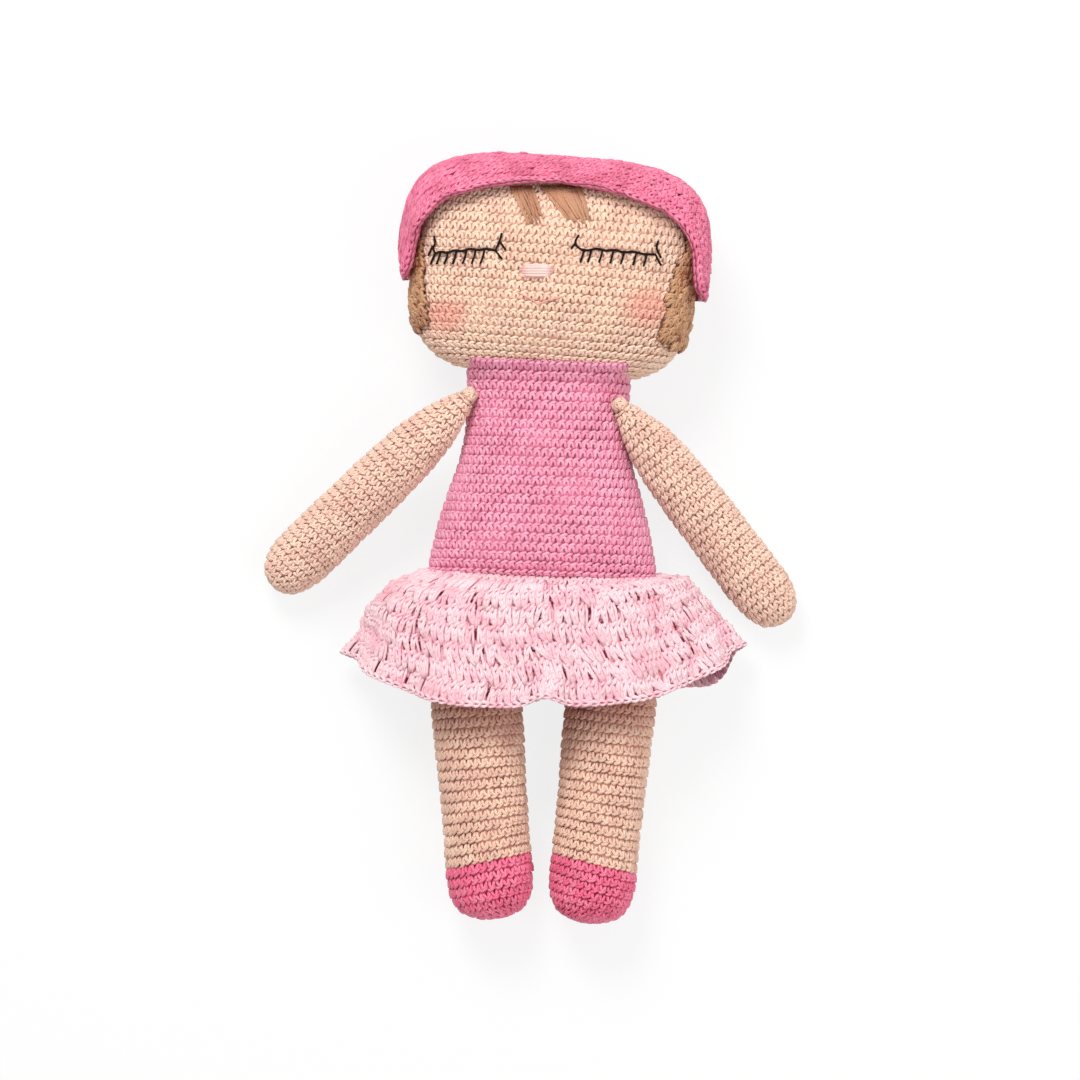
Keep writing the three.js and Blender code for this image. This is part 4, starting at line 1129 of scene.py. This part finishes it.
for side in ("left", "right"):
    low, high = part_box(f"{side}_shoulder_stitches")
    centre = (low + high) / 2
    along = Vector(joints[f"{side}_arm_lift"]["axis"]).cross(up).normalized()
    along = along if along.y < 0 else -along
    beside = up.cross(along)
    strands = []
    for k in range(5):
        spread = (k - 2) * 1.25 * mm
        strands.append(bent_yarn([
            centre - along * 2.2 * mm + beside * spread * 0.6 - up * 2.0 * mm,
            centre - along * 1.2 * mm + beside * spread * 0.9 - up * 0.1 * mm,
            centre + along * 0.6 * mm + beside * spread + up * (0.3 - abs(k - 2) * 0.4) * mm,
            centre + along * 2.0 * mm + beside * spread * 1.1 - up * 1.2 * mm], 1.35 * mm, steps=2))
    rings = [ring_of_yarn(centre - up * 1.2 * mm, math.radians(45 * k)) for k in range(4)]
    knot_form = measure([f"{side}_shoulder_stitches"], along)
    knot_end = knot_form[1][-1]
    small = lay(knot_form, (0.2 * mm, knot_end - 0.2 * mm), width=2.6 * mm, height=2.7 * mm, rough=1.6,
                raised=-0.2 * mm)
    joined_threads(f"{side}_shoulder_knot", strands + rings, arm_yarn, body=f"{side}_shoulder",
                   replaced=[f"{side}_shoulder_stitches"], more=small)
    low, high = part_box(f"{side}_hip_seam")
    whips = []
    for k in range(whip_count):
        x = low.x + (high.x - low.x) * (k + 0.5) / whip_count
        y, z = (low.y + high.y) / 2, (low.z + high.z) / 2
        loop = [Vector((x - 1.2 * mm, y - 1.9 * mm, z - 0.4 * mm)), Vector((x - 0.4 * mm, y - 0.6 * mm, z + 1.3 * mm)),
                Vector((x + 0.4 * mm, y + 0.6 * mm, z + 1.3 * mm)), Vector((x + 1.2 * mm, y + 1.9 * mm, z - 0.4 * mm))]
        under = [Vector((p.x, p.y, 2 * z - p.z)) for p in loop]
        whips += [bent_yarn(loop, whip_yarn, steps=3), bent_yarn(under, whip_yarn, steps=3)]
    joined_threads(f"{side}_hip_whipping", whips, leg_yarn, body="body", replaced=[f"{side}_hip_seam"])

# %% [markdown]
# ## Filling
# Each cover is stuffed with loose white fibre. It never shows, but it is there, so each filling is a copy of the
# frame's solid, made denser and smoothed, in a white material whose streaks and bump make it look like loose fibre.

# %% Fibre
fibre, tree, shader = new_material("Fibre filling", 0.95, sheen=0.5)
streaks = tree.nodes.new("ShaderNodeTexNoise")
streaks.inputs["Scale"].default_value = 900
streaks.inputs["Detail"].default_value = 6
streaks.inputs["Distortion"].default_value = 1.5
stretch = tree.nodes.new("ShaderNodeTexCoord")
tree.links.new(stretch.outputs["Object"], streaks.inputs["Vector"])
white_fibre = mixed(tree, ramp(tree, streaks.outputs["Fac"], 0.35, 0.65), (0.78, 0.77, 0.73), (0.95, 0.95, 0.93))
tree.links.new(white_fibre, shader.inputs["Base Color"])
fluff = tree.nodes.new("ShaderNodeBump")
fluff.inputs["Distance"].default_value = 0.6 * mm
tree.links.new(streaks.outputs["Fac"], fluff.inputs["Height"])
tree.links.new(fluff.outputs[0], shader.inputs["Normal"])

for part, body in (("torso", "body"), ("head", "head"), ("left_arm", "left_arm"), ("right_arm", "right_arm"),
                   ("left_leg", "left_leg"), ("right_leg", "right_leg")):
    fill = own_copy(f"{part}_stuffing", f"{part}_fill")
    finish_piece(fill, fibre, body, [f"{part}_stuffing"])
    print(fill.name, len(fill.data.polygons), "faces")

# %% [markdown]
# ## Floor and light
# The doll lies on a white table. The floor takes the doll's shadow, and where the camera sees it, it is lifted
# toward white, also in reflections. The light is soft and comes mostly from above the head, so the skirt shades the
# legs a little.

# %% Floor and light


def in_view(tree):
    """1 for what the camera sees, also in a reflection or through glass."""
    path = tree.nodes.new("ShaderNodeLightPath")
    return math_node(tree, "MAXIMUM", path.outputs["Is Camera Ray"],
                     math_node(tree, "MAXIMUM", path.outputs["Is Glossy Ray"], path.outputs["Is Transmission Ray"]))


bpy.ops.object.select_all(action="DESELECT")
bpy.ops.mesh.primitive_plane_add(size=6, location=(0, 0, 0))
floor = bpy.context.object
floor.name = "white_table"
table = bpy.data.materials.new("White table")
table.use_nodes = True
tree = table.node_tree
shader = tree.nodes["Principled BSDF"]
shader.inputs["Base Color"].default_value = (0.86, 0.86, 0.86, 1)
shader.inputs["Roughness"].default_value = 0.9
glow = tree.nodes.new("ShaderNodeEmission")
glow.inputs["Strength"].default_value = 1.0
blend = tree.nodes.new("ShaderNodeMixShader")
tree.links.new(math_node(tree, "MULTIPLY", in_view(tree), 0.82), blend.inputs[0])
tree.links.new(shader.outputs[0], blend.inputs[1])
tree.links.new(glow.outputs[0], blend.inputs[2])
tree.links.new(blend.outputs[0], tree.nodes["Material Output"].inputs["Surface"])
floor.data.materials.append(table)

world = bpy.data.worlds.new("Studio")
bpy.context.scene.world = world
world.use_nodes = True
tree = world.node_tree
sky = tree.nodes["Background"]
sky.inputs["Color"].default_value = (1, 1, 1, 1)
sky.inputs["Strength"].default_value = 0.5
white = tree.nodes.new("ShaderNodeBackground")
white.inputs["Strength"].default_value = 1.0
either = tree.nodes.new("ShaderNodeMixShader")
tree.links.new(in_view(tree), either.inputs[0])
tree.links.new(sky.outputs[0], either.inputs[1])
tree.links.new(white.outputs[0], either.inputs[2])
tree.links.new(either.outputs[0], tree.nodes["World Output"].inputs["Surface"])


def lamp(name, place, size, power):
    """A square soft light that points at the middle of the doll."""
    bpy.ops.object.light_add(type="AREA", location=place)
    light = bpy.context.object
    light.name = name
    light.data.size = size
    light.data.energy = power
    light.rotation_euler = (Vector((0, 0, 0)) - Vector(place)).to_track_quat("-Z", "Y").to_euler()
    print(name, "light:", size, "m wide,", power, "W")


lamp("key", (-0.35, 1.0, 1.15), 0.6, 18)
lamp("fill", (0.9, -0.4, 1.3), 1.2, 9)

# %% [markdown]
# ## Camera
# The camera looks straight down from far away through a long lens, as in the photograph, whose edges hardly spread.
# The lens follows from the width that the picture shows at half the doll's height.

# %% Camera
picture_centre, picture_width = (-1.95 * mm, -19.5 * mm), 421.2 * mm
camera_height, subject_height, sensor_width = 3.0, 25 * mm, 36
bpy.ops.object.camera_add(location=(*picture_centre, camera_height), rotation=(0, 0, 0))
camera = bpy.context.object
camera.data.sensor_width = sensor_width
camera.data.lens = sensor_width * (camera_height - subject_height) / picture_width
camera.data.clip_end = 20
bpy.context.scene.camera = camera
bpy.context.scene.view_settings.view_transform = "Standard"
print("lens", round(camera.data.lens, 1), "mm")
